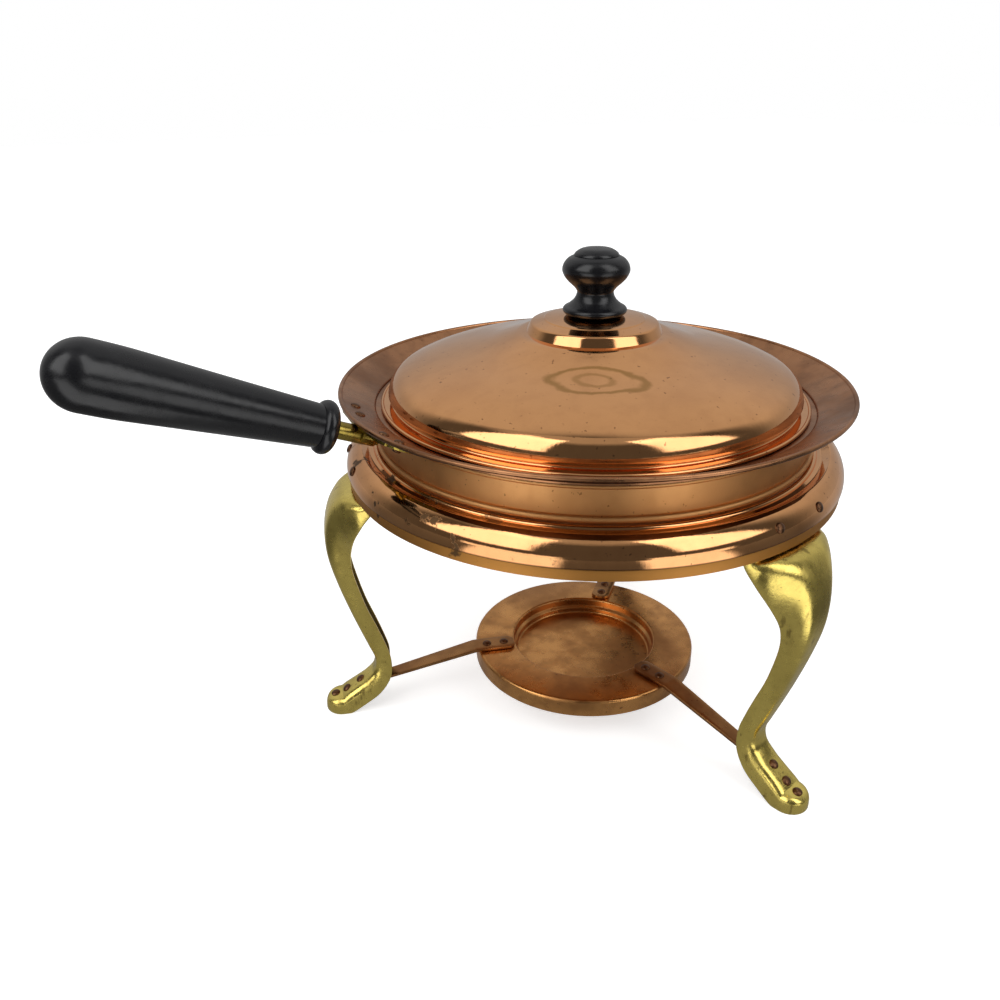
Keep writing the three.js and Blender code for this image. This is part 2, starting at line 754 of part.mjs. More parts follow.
function handleGrip() {
  const beadSteps = 6;
  const endSteps = 6;
  const bulbCentre = gripLength - gripRadius;
  const bore = tangRadius + gap;
  const boreDepth = tangLength + gap;
  const collarBead = collarWidth / 2;
  const taper = gripShares.map(([along, out]) => [
    gripNeckRadius + (gripRadius - gripNeckRadius) * out,
    collarWidth + (bulbCentre - collarWidth) * along,
  ]);
  const profile = [
    [bore, 0],
    ...arc([gripCollarRadius - collarBead, collarBead], collarBead, collarBead, -90, 90, beadSteps),
    [gripNeckRadius, collarWidth],
    ...taper,
    ...arc([0, bulbCentre], gripRadius, gripRadius, 0, 90, endSteps),
    [0, boreDepth],
    [bore, boreDepth],
  ];
  return alongHandle(turned(profile, handleSides), collarRadius);
}

// Lid: a spun dome with a boss for the knob, a rounded shoulder, a wall and a flat flange with a bead.
const lidPlay = 2.7;
const lidBead = 1;
const lidFlangeEnd = stepRadius - sheet - lidPlay - lidBead;
const lidFlangeWidth = 5.8;
const lidWallRadius = lidFlangeEnd - lidFlangeWidth;
const lidFoot = 1.2;
const shoulderOut = 1.8;
const shoulderRadius = lidWallRadius + shoulderOut;
const wallHeight = 6.4;
const shoulderHeight = 12.6;
const shoulderBend = 2.6;
const domeEdgeInset = 3;
const domeEdgeRadius = shoulderRadius - domeEdgeInset;
const domeEdgeHeight = 16.7;
const domeRise = 19.2;
const bossFootRadius = 36.8;
const bossRadius = 34.4;
const bossRise = 4.6;
const bossBend = 1.5;
const bossStepRadius = 26.8;
const bossStepRise = 1.9;
const bossStepWidth = 1.2;
const screwRadius = 2.1;
const lidUnder = ledgeUnder + sheet + gap;
const lidFlangeMiddle = lidUnder + lidBead;
const bossTop = lidFlangeMiddle + domeEdgeHeight + domeRise + bossRise + bossStepRise;

// Shares of the way in from the dome's edge to the boss, and of the dome's rise.
const domeShares = [
  [0.1, 0.17],
  [0.263, 0.365],
  [0.5, 0.575],
  [0.8, 0.8],
  [1, 1],
];

function lid() {
  const base = lidFlangeMiddle;
  const dome = domeShares.map(([inwards, up]) => [
    domeEdgeRadius + (bossFootRadius - domeEdgeRadius) * inwards,
    base + domeEdgeHeight + domeRise * up,
    0,
  ]);
  const bossFoot = base + domeEdgeHeight + domeRise;
  const face = rounded([
    [lidFlangeEnd, base + sheet / 2, 0],
    [lidWallRadius, base + sheet / 2, lidFoot],
    [lidWallRadius, base + wallHeight, 0],
    [shoulderRadius, base + shoulderHeight, shoulderBend],
    [domeEdgeRadius, base + domeEdgeHeight, 0],
    ...dome,
    [bossRadius, bossFoot + bossRise, bossBend],
    [bossStepRadius + bossStepWidth, bossFoot + bossRise, 0],
    [bossStepRadius, bossTop, 0],
    [screwRadius + gap, bossTop, 0],
  ]);
  return turned(sheetProfile(face, sheet, lidBead, 0), shellSides);
}

// Knob: a turned base bead, a neck, a bulb and a small cap, held by a screw and washer from inside.
const knobHeight = 36.8;
const knobRadius = 17.6;
const knobBaseRadius = 17.2;
const screwLength = 18;
const screwHeadRadius = 4.2;
const screwHeadHeight = 2.4;
const washerRadius = 7;
const washerThickness = 1;
const knobBottom = bossTop + gap;

// Shares of knobRadius or knobBaseRadius and of knobHeight, from the seat to the top of the cap.
const knobBaseShares = [
  [0.7, 0],
  [0.93, 0.05],
  [1, 0.14],
  [0.93, 0.23],
  [0.72, 0.29],
];
const knobShares = [
  [0.58, 0.36],
  [0.55, 0.44],
  [0.66, 0.53],
  [0.9, 0.6],
  [1, 0.69],
  [0.93, 0.79],
  [0.7, 0.86],
  [0.64, 0.88],
  [0.6, 0.93],
  [0.36, 0.985],
];

function lidKnob() {
  const bore = screwRadius + gap;
  const outline = [
    ...knobBaseShares.map(([out, up]) => [out * knobBaseRadius, knobBottom + up * knobHeight]),
    ...knobShares.map(([out, up]) => [out * knobRadius, knobBottom + up * knobHeight]),
  ];
  return turned([
    [bore, knobBottom],
    ...outline,
    [0, knobBottom + knobHeight],
    [0, knobBottom + screwLength + gap],
    [bore, knobBottom + screwLength + gap],
  ], handleSides);
}

function knobWasher() {
  const top = bossTop - sheet - gap;
  const bore = screwRadius + gap;
  return turned([
    [bore, top - washerThickness],
    [washerRadius, top - washerThickness],
    [washerRadius, top],
    [bore, top],
  ], handleSides);
}

function knobScrew() {
  const headTop = bossTop - sheet - washerThickness - 2 * gap;
  return turned([
    [0, headTop - screwHeadHeight],
    [screwHeadRadius - screwHeadHeight / 2, headTop - screwHeadHeight],
    [screwHeadRadius, headTop - screwHeadHeight / 2],
    [screwHeadRadius, headTop],
    [screwRadius, headTop],
    [screwRadius, knobBottom + screwLength],
    [0, knobBottom + screwLength],
  ], handleSides);
}

// Assembly: the stand's pieces are made with the first leg along +X and turned to its azimuth.
const dish = new THREE.Group();
const stand = new THREE.Group();
stand.rotation.z = legAzimuth;
dish.add(stand);

let ring = standRing();
for (let i = 0; i < legCount; i += 1) {
  for (const side of [-1, 1]) {
    const azimuth = (2 * Math.PI * i) / legCount + side * ringRivetTurn;
    const drill = hole(ringRivetStack, ringRivetPlace, ringRivetLean);
    ring = ring.subtract(drill.rotate([0, 0, THREE.MathUtils.radToDeg(azimuth)]));
  }
}
addPiece(stand, 'stand_ring', ring, copper());
addPiece(stand, 'burner_tray', burnerTray(), copper());

const legSolid = leg();
const strapSolid = strap();
for (let i = 0; i < legCount; i += 1) {
  const label = i + 1;
  const side = new THREE.Group();
  side.rotation.z = (2 * Math.PI * i) / legCount;
  stand.add(side);
  addPiece(side, `leg_${label}`, legSolid, brass());
  addPiece(side, `strap_${label}`, strapSolid, copper());
  addRivet(side, `ring_rivet_${label}a`, ringRivetStack, ringRivetPlace, ringRivetLean, -ringRivetTurn);
  addRivet(side, `ring_rivet_${label}b`, ringRivetStack, ringRivetPlace, ringRivetLean, ringRivetTurn);
  trayRivetRadii.forEach((radius, r) => {
    const place = [radius, 0, trayHeight + strapThickness + 2 * gap];
    addRivet(side, `tray_rivet_${label}${'ab'[r]}`, trayRivetStack, place, 0);
  });
  footRivetShares.forEach((share, r) => {
    const { place, lean } = footTop(share);
    const seat = [place[0] + 2 * gap * Math.sin(lean), 0, place[2] + 2 * gap * Math.cos(lean)];
    addRivet(side, `foot_rivet_${label}${'abc'[r]}`, footRivetStack, seat, lean);
  });
}

addPiece(dish, 'water_pan', waterPan(), copper());
addPiece(dish, 'food_pan', foodPan(), darkCopper());
addPiece(dish, 'handle_bracket', handleBracket(), brass());
addPiece(dish, 'handle_rod', handleRod(), brass());
addPiece(dish, 'handle_grip', handleGrip(), blackWood());
rimRivetOffsets.forEach((offset, r) => {
  const azimuth = Math.PI + Math.asin(offset / rimRivetRadius);
  addRivet(dish, `rim_rivet_${r + 1}`, rimRivetStack, onRim(rimRivetRadius, gap), -rimSlope, azimuth);
});

addPiece(dish, 'lid', lid(), copper());
addPiece(dish, 'lid_knob', lidKnob(), blackWood());
addPiece(dish, 'knob_washer', knobWasher(), brass());
addPiece(dish, 'knob_screw', knobScrew(), brass());

// The origin is the middle of the bottom of the whole dish's bounding box.
const bounds = new THREE.Box3().setFromObject(dish, true);
const middle = bounds.getCenter(new THREE.Vector3());
dish.position.set(-middle.x, -middle.y, -bounds.min.z);

export default dish;
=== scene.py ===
import math

import bmesh
import bpy
from mathutils import Matrix, Vector


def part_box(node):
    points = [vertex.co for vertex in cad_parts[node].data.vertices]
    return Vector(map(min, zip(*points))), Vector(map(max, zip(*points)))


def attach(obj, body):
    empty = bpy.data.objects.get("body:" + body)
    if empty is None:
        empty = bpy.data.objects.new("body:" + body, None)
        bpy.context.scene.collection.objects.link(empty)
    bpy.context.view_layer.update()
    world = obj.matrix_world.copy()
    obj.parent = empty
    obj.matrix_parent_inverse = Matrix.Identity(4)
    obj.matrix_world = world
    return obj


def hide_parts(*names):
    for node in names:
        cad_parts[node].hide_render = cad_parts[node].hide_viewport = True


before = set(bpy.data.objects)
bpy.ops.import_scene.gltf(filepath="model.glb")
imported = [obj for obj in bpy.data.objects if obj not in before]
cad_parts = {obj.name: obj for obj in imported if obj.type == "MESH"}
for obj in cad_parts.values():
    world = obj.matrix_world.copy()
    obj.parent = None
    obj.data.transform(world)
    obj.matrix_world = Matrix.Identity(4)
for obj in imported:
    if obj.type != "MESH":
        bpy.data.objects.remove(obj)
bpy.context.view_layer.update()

# Stand ring: the spun copper ring that carries both pans. Its inner edge is rolled over a wire, its
# outside is a hollow bulge, and the short lip under the bulge hides the tops of the legs.
mm = 0.001
knob_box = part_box("lid_knob")
axis = ((knob_box[0] + knob_box[1]) / 2 * Vector((1, 1, 0))).freeze()
stand_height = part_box("stand_ring")[0].z
copper_sheet = 1.2 * mm
gap = 0.3 * mm
ring_roll_radius = 1.7 * mm
ring_roll_place = 121.3 * mm
lip_radius = 136.9 * mm
lip_start = 0.9 * mm
lip_band = 6.1 * mm
crease_inset = 0.4 * mm
crease_height = 0.7 * mm
bulge_place = 124.5 * mm
bulge_round = 13.4 * mm
bulge_low_angle = -5
bulge_high_angle = 60
bulge_height = stand_height + 8.3 * mm
bulge_edge = 129.4 * mm
bulge_top = stand_height + 20.6 * mm
groove_place = 125 * mm
groove_height = stand_height + 18 * mm
ring_roll_height = stand_height + 19.3 * mm


def arc(centre, out, up, start, end, steps):
    """Points (radius, height) of an ellipse, from one angle to another in degrees."""
    angles = [math.radians(start + (end - start) * i / steps) for i in range(steps + 1)]
    return [(centre[0] + out * math.cos(a), centre[1] + up * math.sin(a)) for a in angles]


def rounded(corners, steps=8):
    """An open line of (radius, height, corner radius) points, with its corners rounded."""
    line = []
    for i, (out, up, radius) in enumerate(corners):
        here = Vector((out, up))
        if not radius:
            line.append(tuple(here))
            continue
        before = (Vector(corners[i - 1][:2]) - here).normalized()
        after = (Vector(corners[i + 1][:2]) - here).normalized()
        half = before.angle(after) / 2
        middle = here + (before + after).normalized() * radius / math.sin(half)
        start = here + before * radius / math.tan(half) - middle
        turn = start.angle_signed(here + after * radius / math.tan(half) - middle)
        for step in range(steps + 1):
            spoke = start.copy()
            spoke.rotate(Matrix.Rotation(-turn * step / steps, 2))
            line.append(tuple(middle + spoke))
    return line


def beside(line, distance):
    """The line moved to its left by a distance, with mitred corners."""
    points = [Vector(point) for point in line]
    normals = [Vector((a.y - b.y, b.x - a.x)).normalized() for a, b in zip(points, points[1:])]
    moved = []
    for i, point in enumerate(points):
        before = normals[max(i - 1, 0)]
        after = normals[min(i, len(normals) - 1)]
        middle = (before + after).normalized()
        moved.append(tuple(point + middle * distance / middle.dot(after)))
    return moved


def rolled(end, other_end, heading, radius, thickness, steps=14):
    """The rolled bead at a sheet's end, as points from one face of the sheet to the other."""
    centre = (Vector(end) + Vector(other_end)) / 2
    reach = math.pi - math.asin(thickness / 2 / radius)
    points = []
    for i in range(steps + 1):
        spoke = heading.normalized() * radius
        spoke.rotate(Matrix.Rotation(-reach + 2 * reach * i / steps, 2))
        points.append(tuple(centre + spoke))
    return points


def sheet_outline(face, thickness, start_bead=0, end_bead=0):
    """The closed outline of a spun sheet: its outer face, anticlockwise, and the inner face beside it."""
    inner = beside(face, thickness)
    outline = face[1 if start_bead else 0 : -1 if end_bead else None]
    if end_bead:
        heading = Vector(face[-1]) - Vector(face[-2])
        outline = outline + rolled(face[-1], inner[-1], heading, end_bead, thickness)
    outline = outline + inner[1 if start_bead else 0 : -1 if end_bead else None][::-1]
    if start_bead:
        heading = Vector(face[0]) - Vector(face[1])
        outline = outline + rolled(inner[0], face[0], heading, start_bead, thickness)
    return outline


def spun(outline, steps=160):
    """Spins (radius, height) points about the z axis. A line that ends on the axis isn't closed."""
    shape = bmesh.new()
    points = [shape.verts.new((out, 0, up)) for out, up in outline]
    pairs = list(zip(points, points[1:]))
    if max(outline[0][0], outline[-1][0]) > 0:
        pairs.append((points[-1], points[0]))
    edges = [shape.edges.new(pair) for pair in pairs]
    bmesh.ops.spin(
        shape,
        geom=points + edges,
        axis=(0, 0, 1),
        cent=(0, 0, 0),
        angle=math.tau,
        steps=steps,
        use_merge=True,
    )
    bmesh.ops.remove_doubles(shape, verts=shape.verts[:], dist=0.001 * mm)
    bmesh.ops.recalc_face_normals(shape, faces=shape.faces[:])
    return shape


def place_piece(name, shape, finish, body, nodes, place=Matrix.Translation(axis)):
    """Moves a shape to its place, makes it an object, hides the CAD nodes that it stands for and parents it
    to its body.
    """
    bmesh.ops.transform(shape, matrix=place, verts=shape.verts[:])
    for face in shape.faces:
        face.smooth = True
    mesh = bpy.data.meshes.new(name)
    shape.to_mesh(mesh)
    shape.free()
    mesh.set_sharp_from_angle(angle=math.radians(35))
    mesh.materials.append(finish)
    piece = bpy.data.objects.new(name, mesh)
    bpy.context.scene.collection.objects.link(piece)
    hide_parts(*nodes)
    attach(piece, body)
    return piece


def add(tree, kind, feeds=None, **settings):
    """Adds a node, gives its sockets values or links, and returns it."""
    made = tree.nodes.new(kind)
    for name, value in settings.items():
        setattr(made, name, value)
    for socket, value in (feeds or {}).items():
        if isinstance(value, bpy.types.NodeSocket):
            tree.links.new(value, made.inputs[socket])
        else:
            made.inputs[socket].default_value = value
    return made


def blank_finish(name):
    """A new material: its tree, its shader, and the point on the piece measured from the dish axis."""
    finish = bpy.data.materials.new(name)
    finish.use_nodes = True
    tree = finish.node_tree
    coordinates = add(tree, "ShaderNodeTexCoord")
    centred = add(
        tree,
        "ShaderNodeMapping",
        {"Vector": coordinates.outputs["Object"], "Location": -axis},
    )
    return finish, tree, tree.nodes["Principled BSDF"], centred.outputs["Vector"]


def clouds(tree, point, size, detail=4, low=0.4, high=0.6, roughness=0.55):
    """Soft patches of about one size in metres, from 0 to 1 between two levels of the noise."""
    noise = add(
        tree,
        "ShaderNodeTexNoise",
        {"Vector": point, "Scale": 1 / size, "Detail": detail, "Roughness": roughness},
    )
    level = add(
        tree,
        "ShaderNodeMapRange",
        {"Value": noise.outputs["Fac"], "From Min": low, "From Max": high},
        interpolation_type="SMOOTHSTEP",
    )
    return level.outputs["Result"]


def blended(tree, share, first, second):
    """Mixes two colours, each a socket or (red, green, blue), by a share."""
    mix = add(tree, "ShaderNodeMix", data_type="RGBA", clamp_factor=True)
    for socket, value in ((mix.inputs[0], share), (mix.inputs[6], first), (mix.inputs[7], second)):
        if isinstance(value, bpy.types.NodeSocket):
            tree.links.new(value, socket)
        else:
            socket.default_value = (*value, 1) if isinstance(value, tuple) else value
    return mix.outputs[2]


def times(tree, first, second):
    """The product of two numbers or sockets."""
    return add(tree, "ShaderNodeMath", {0: first, 1: second}, operation="MULTIPLY").outputs[0]


def lathe_marks(tree, point, size):
    """Fine rings round the dish axis, as a spinning lathe leaves them."""
    parts = add(tree, "ShaderNodeSeparateXYZ", {"Vector": point})
    flat = add(tree, "ShaderNodeCombineXYZ", {"X": parts.outputs["X"], "Y": parts.outputs["Y"]})
    radius = add(tree, "ShaderNodeVectorMath", {0: flat.outputs[0]}, operation="LENGTH")
    rings = add(
        tree,
        "ShaderNodeCombineXYZ",
        {"X": radius.outputs["Value"], "Y": parts.outputs["Z"]},
    )
    noise = add(
        tree,
        "ShaderNodeTexNoise",
        {"Vector": rings.outputs[0], "Scale": 1 / size, "Detail": 3, "Roughness": 0.6},
    )
    return noise.outputs["Fac"]


def bumps(tree, layers):
    """Stacks bump layers of (height socket, depth in metres) and returns the normal."""
    normal = None
    for height, depth in layers:
        feeds = {"Height": height, "Distance": depth, "Strength": 1.0}
        if normal:
            feeds["Normal"] = normal
        normal = add(tree, "ShaderNodeBump", feeds).outputs["Normal"]
    return normal


def copper(name, bright, dull, dull_share, gloss, haze, dents=0.35 * mm):
    """Spun copper: bright metal under patches of dull tarnish, dark specks, lathe marks and dents."""
    finish, tree, shader, point = blank_finish(name)
    specks = clouds(tree, point, 2.6 * mm, 2, 0.69, 0.74)
    wide = clouds(tree, point, 45 * mm, 5, 0.38, 0.68)
    fine = clouds(tree, point, 9 * mm, 6, 0.42, 0.72)
    colour = blended(tree, times(tree, wide, dull_share), bright, dull)
    colour = blended(tree, times(tree, fine, dull_share * 0.7), colour, dull)
    colour = blended(tree, times(tree, specks, 0.6), colour, (0.16, 0.055, 0.022))
    tree.links.new(colour, shader.inputs["Base Color"])
    shader.inputs["Metallic"].default_value = 1
    smudges = clouds(tree, point, 22 * mm, 6, 0.35, 0.7, 0.65)
    sheen = add(
        tree,
        "ShaderNodeMapRange",
        {"Value": smudges, "To Min": gloss, "To Max": haze},
    )
    tree.links.new(sheen.outputs["Result"], shader.inputs["Roughness"])
    marks = lathe_marks(tree, point, 0.9 * mm)
    waves = add(tree, "ShaderNodeTexNoise", {"Vector": point, "Scale": 28, "Detail": 1.5})
    pits = clouds(tree, point, 3 * mm, 3, 0.3, 0.8)
    normal = bumps(
        tree,
        [(waves.outputs["Fac"], dents), (marks, 0.006 * mm), (pits, 0.01 * mm)],
    )
    tree.links.new(normal, shader.inputs["Normal"])
    return finish


polished_copper = copper(
    "polished_copper",
    bright=(0.90, 0.45, 0.19),
    dull=(0.66, 0.30, 0.12),
    dull_share=0.45,
    gloss=0.05,
    haze=0.12,
    dents=0.2 * mm,
)
crease_place = stand_height + lip_band + crease_height
stain_azimuth = math.radians(-168)
stain_start = 35 * mm
stain_full = 55 * mm


def worn_and_shaded_ring():
    """Dulls the lip below the crease, paints shade along the crease, and stains the side by the handle."""
    tree = polished_copper.node_tree
    shader = tree.nodes["Principled BSDF"]
    point = add(tree, "ShaderNodeTexCoord").outputs["Object"]
    height = add(tree, "ShaderNodeSeparateXYZ", {"Vector": point}).outputs["Z"]
    lip = add(
        tree,
        "ShaderNodeMapRange",
        {"Value": height, "From Min": crease_place, "From Max": crease_place - 0.5 * mm},
    ).outputs["Result"]
    off = add(tree, "ShaderNodeMath", {0: height, 1: crease_place}, operation="SUBTRACT")
    near = add(tree, "ShaderNodeMath", {0: off.outputs[0]}, operation="ABSOLUTE")
    # Painted shade: a dark band along the crease, where shade falls.
    crease = add(
        tree,
        "ShaderNodeMapRange",
        {"Value": near.outputs[0], "From Min": 0.3 * mm, "From Max": 0.9 * mm, "To Min": 0.8, "To Max": 0.0},
    ).outputs["Result"]
    handle_side = add(
        tree,
        "ShaderNodeVectorMath",
        {0: point, 1: Vector((math.cos(stain_azimuth), math.sin(stain_azimuth), 0))},
        operation="DOT_PRODUCT",
    )
    stained = add(
        tree,
        "ShaderNodeMapRange",
        {"Value": handle_side.outputs["Value"], "From Min": stain_start, "From Max": stain_full},
    ).outputs["Result"]
    patches = times(tree, stained, clouds(tree, point, 13 * mm, 5, 0.585, 0.625))
    colour = shader.inputs["Base Color"].links[0].from_socket
    colour = blended(tree, times(tree, lip, 0.85), colour, (0.50, 0.23, 0.045))
    # The crease is darkened with painted shade.
    colour = blended(tree, crease, colour, (0.10, 0.045, 0.018))
    colour = blended(tree, times(tree, patches, 0.9), colour, (0.10, 0.06, 0.03))
    tree.links.new(colour, shader.inputs["Base Color"])
    sheen = shader.inputs["Roughness"].links[0].from_socket
    worn = add(tree, "ShaderNodeMath", {0: lip, 1: patches}, operation="MAXIMUM").outputs[0]
    dulled = add(tree, "ShaderNodeMix", {0: worn, 2: sheen, 3: 0.5}, data_type="FLOAT").outputs[0]
    tree.links.new(dulled, shader.inputs["Roughness"])


worn_and_shaded_ring()
ring_face = [
    (lip_radius, stand_height + lip_start),
    (lip_radius, stand_height + lip_band),
    (lip_radius - crease_inset, crease_place),
    *arc(
        (bulge_place, bulge_height), bulge_round, bulge_round, bulge_low_angle, bulge_high_angle, 28
    ),
    *rounded(
        [
            (bulge_edge + 1 * mm, bulge_top - 0.5 * mm, 0),
            (bulge_edge, bulge_top, 1.2 * mm),
            (groove_place, groove_height, 1.5 * mm),
            (ring_roll_place, ring_roll_height, 0),
        ]
    )[1:],
]
ring_shape = spun(sheet_outline(ring_face, copper_sheet, 0, ring_roll_radius))
place_piece("copper_ring", ring_shape, polished_copper, "stand", ["stand_ring"])

# Legs: brass pressed into hollow S-shaped channels, open at the back and underneath. Each has a tab that
# follows the inside of the ring's bulge, where it is riveted, and a foot that turns outwards.
leg_azimuths = [math.radians(43.2 + 120 * i) for i in range(3)]
leg_wall = 1.6 * mm
sole_height = 0.12 * mm
leg_top_radius = 133.1 * mm
knee_out = 20.5 * mm
ankle_height = 34 * mm
toe_out = 29.8 * mm
leg_top_half = 29.3 * mm
tab_half = 27.3 * mm
foot_half = 10.3 * mm
foot_height = 10 * mm
leg_middle = 128 * mm
line_steps = 5
toe_reach = foot_half * math.sin(math.radians(78))
leg_squareness = 0.5

# Shares of the knee's reach, of the height from ankle to lip and of the top half width, ring to ankle:
# front out, front up, back out, back up, half width.
shank_shares = [
    (-0.024, 1.025, -0.371, 1.025, 0.956),
    (0, 0.998, -0.322, 0.96, 1),
    (0.229, 0.996, -0.005, 0.881, 0.949),
    (0.541, 0.973, 0.268, 0.78, 0.751),
    (0.834, 0.899, 0.36, 0.697, 0.553),
    (0.995, 0.779, 0.37, 0.631, 0.43),
    (0.98, 0.639, 0.34, 0.552, 0.362),
    (0.8, 0.487, 0.21, 0.447, 0.304),
    (0.54, 0.327, 0.016, 0.32, 0.266),
    (0.285, 0.189, -0.222, 0.201, 0.246),
    (0.06, 0.076, -0.43, 0.088, 0.239),
    (-0.083, 0, -0.551, -0.005, 0.256),
]

# Shares of the toe's reach, of the ankle's height and of the foot's half width, ankle to toe.
foot_shares = [
    (-0.023, 0.765, -0.346, 0.653, 0.854),
    (0.148, 0.6, -0.124, 0.362, 0.951),
    (0.329, 0.494, 0.211, 0.147, 0.971),
    (0.517, 0.388, 0.51, 0, 1),
]


def through(points, steps=line_steps):
    """A smooth line through points of any size, with the same number of steps between each two."""
    ends = [points[0], *points, points[-1]]
    line = []
    for before, start, end, after in zip(ends, ends[1:], ends[2:], ends[3:]):
        for step in range(steps):
            t = step / steps
            weights = (
                (-t + 2 * t**2 - t**3) / 2,
                (2 - 5 * t**2 + 3 * t**3) / 2,
                (t + 4 * t**2 - 3 * t**3) / 2,
                (t**3 - t**2) / 2,
            )
            columns = zip(before, start, end, after)
            line.append(tuple(sum(w * v for w, v in zip(weights, column)) for column in columns))
    return [*line, tuple(points[-1])]


def leg_stations():
    """(front out, front up, back out, back up, half width) from the ring to the toe, in metres."""
    rise = stand_height - ankle_height
    shank = [
        (
            leg_top_radius + front_out * knee_out,
            ankle_height + front_up * rise,
            leg_top_radius + back_out * knee_out,
            ankle_height + back_up * rise,
            half * leg_top_half,
        )
        for front_out, front_up, back_out, back_up, half in shank_shares
    ]
    foot = [
        (
            leg_top_radius + front_out * toe_out,
            front_up * ankle_height,
            leg_top_radius + back_out * toe_out,
            back_up * ankle_height,
            half * foot_half,
        )
        for front_out, front_up, back_out, back_up, half in foot_shares
    ]
    toe = []
    for degrees in (0, 12, 24, 36, 48, 58, 67, 75, 82, 87, 90):
        angle = math.radians(degrees)
        out = leg_top_radius + toe_out - foot_half + toe_reach * math.sin(angle)
        thin = max(math.cos(angle), 0)
        toe.append((out, foot_height * math.sqrt(thin), out, 0, foot_half * thin))
    line = through([*shank, *foot, toe[0]])[:-1] + toe
    stations = []
    for front_out, front_up, back_out, back_up, half in line:
        if front_out > leg_top_radius:
            front_up = min(front_up, stand_height - gap)
        heights = max(front_up, sole_height), max(back_up, sole_height)
        stations.append((front_out, heights[0], back_out, heights[1], half))
    return stations


def leg_section(station, steps=20):
    """Points across the leg, from its left edge over its round front to its right edge."""
    front_out, front_up, back_out, back_up, half = station
    points = []
    for step in range(steps + 1):
        angle = math.pi * (step / steps - 0.5)
        forward = max(math.cos(angle), 0) ** leg_squareness
        across = math.copysign(abs(math.sin(angle)) ** leg_squareness, angle)
        out = back_out + (front_out - back_out) * forward
        points.append((out, half * across, back_up + (front_up - back_up) * forward))
    return points


def joined(sections):
    """Rows of points, each joined to the next by a strip of faces."""
    shape = bmesh.new()
    last = []
    for section in sections:
        points = [shape.verts.new(point) for point in section]
        row = [shape.edges.new(pair) for pair in zip(points, points[1:])]
        if last:
            bmesh.ops.bridge_loops(shape, edges=last + row)
        last = row
    bmesh.ops.remove_doubles(shape, verts=shape.verts[:], dist=0.001 * mm)
    return shape


def facing(shape, outwards):
    """Turns the faces of an open sheet so that most of them look the way that a function gives."""
    bmesh.ops.recalc_face_normals(shape, faces=shape.faces[:])
    shape.normal_update()
    total = sum(face.normal.dot(outwards(face.calc_center_median())) for face in shape.faces)
    if total < 0:
        bmesh.ops.reverse_faces(shape, faces=shape.faces[:])
    return shape


def thickened(piece, thickness, edge):
    """Gives an open sheet its thickness behind its faces, and rounds its edges."""
    wall = piece.modifiers.new("wall", "SOLIDIFY")
    wall.thickness = thickness
    wall.offset = -1
    wall.use_even_offset = True
    rim = piece.modifiers.new("edges", "BEVEL")
    rim.width = edge
    rim.segments = 3
    rim.limit_method = "ANGLE"
    rim.angle_limit = math.radians(50)
    return piece


def turned_to(azimuth):
    """The place of a piece that is made facing along x, on the dish axis."""
    return Matrix.Translation(axis) @ Matrix.Rotation(azimuth, 4, "Z")


def leg_tab():
    """The strip that follows the inside of the ring's bulge, as rows from low to high."""
    inside = bulge_round - copper_sheet - gap
    line = [
        (leg_top_radius, stand_height - gap),
        (leg_top_radius, bulge_height),
        *arc((bulge_place, bulge_height), inside, inside, 14, 58, 10),
    ]
    reach = tab_half / leg_top_radius
    turns = [reach * (2 * step / 12 - 1) for step in range(13)]
    return [[(out * math.cos(turn), out * math.sin(turn), up) for turn in turns] for out, up in line]


def brass(name, bright, dull, dull_share, gloss, haze):
    """Cast and pressed brass: bright yellow metal with olive tarnish, brown streaks and specks."""
    finish, tree, shader, point = blank_finish(name)
    stretched = add(tree, "ShaderNodeMapping", {"Vector": point, "Scale": (1, 1, 0.3)})
    wide = clouds(tree, stretched.outputs["Vector"], 26 * mm, 6, 0.36, 0.68, 0.62)
    fine = clouds(tree, point, 5 * mm, 6, 0.45, 0.75, 0.65)
    streaks = clouds(tree, stretched.outputs["Vector"], 7 * mm, 4, 0.62, 0.72)
    specks = clouds(tree, point, 2.2 * mm, 2, 0.68, 0.73)
    colour = blended(tree, times(tree, wide, dull_share), bright, dull)
    colour = blended(tree, times(tree, fine, dull_share), colour, dull)
    colour = blended(tree, times(tree, streaks, 0.6), colour, (0.17, 0.10, 0.025))
    colour = blended(tree, times(tree, specks, 0.5), colour, (0.12, 0.06, 0.02))
    tree.links.new(colour, shader.inputs["Base Color"])
    shader.inputs["Metallic"].default_value = 1
    smudges = clouds(tree, point, 12 * mm, 6, 0.35, 0.7, 0.65)
    sheen = add(tree, "ShaderNodeMapRange", {"Value": smudges, "To Min": gloss, "To Max": haze})
    tree.links.new(sheen.outputs["Result"], shader.inputs["Roughness"])
    waves = add(tree, "ShaderNodeTexNoise", {"Vector": point, "Scale": 45, "Detail": 2})
    pits = clouds(tree, point, 1.6 * mm, 4, 0.3, 0.8)
    normal = bumps(tree, [(waves.outputs["Fac"], 0.5 * mm), (pits, 0.03 * mm)])
    tree.links.new(normal, shader.inputs["Normal"])
    return finish


leg_brass = brass(
    "leg_brass",
    bright=(0.98, 0.77, 0.20),
    dull=(0.62, 0.47, 0.12),
    dull_share=0.55,
    gloss=0.17,
    haze=0.34,
)
# Painted shade: a dark copy of the leg brass for the inside of each channel, where shade falls.
shaded_hollow_brass = brass(
    "shaded_hollow_brass",
    bright=(0.24, 0.165, 0.05),
    dull=(0.10, 0.065, 0.025),
    dull_share=0.8,
    gloss=0.38,
    haze=0.6,
)

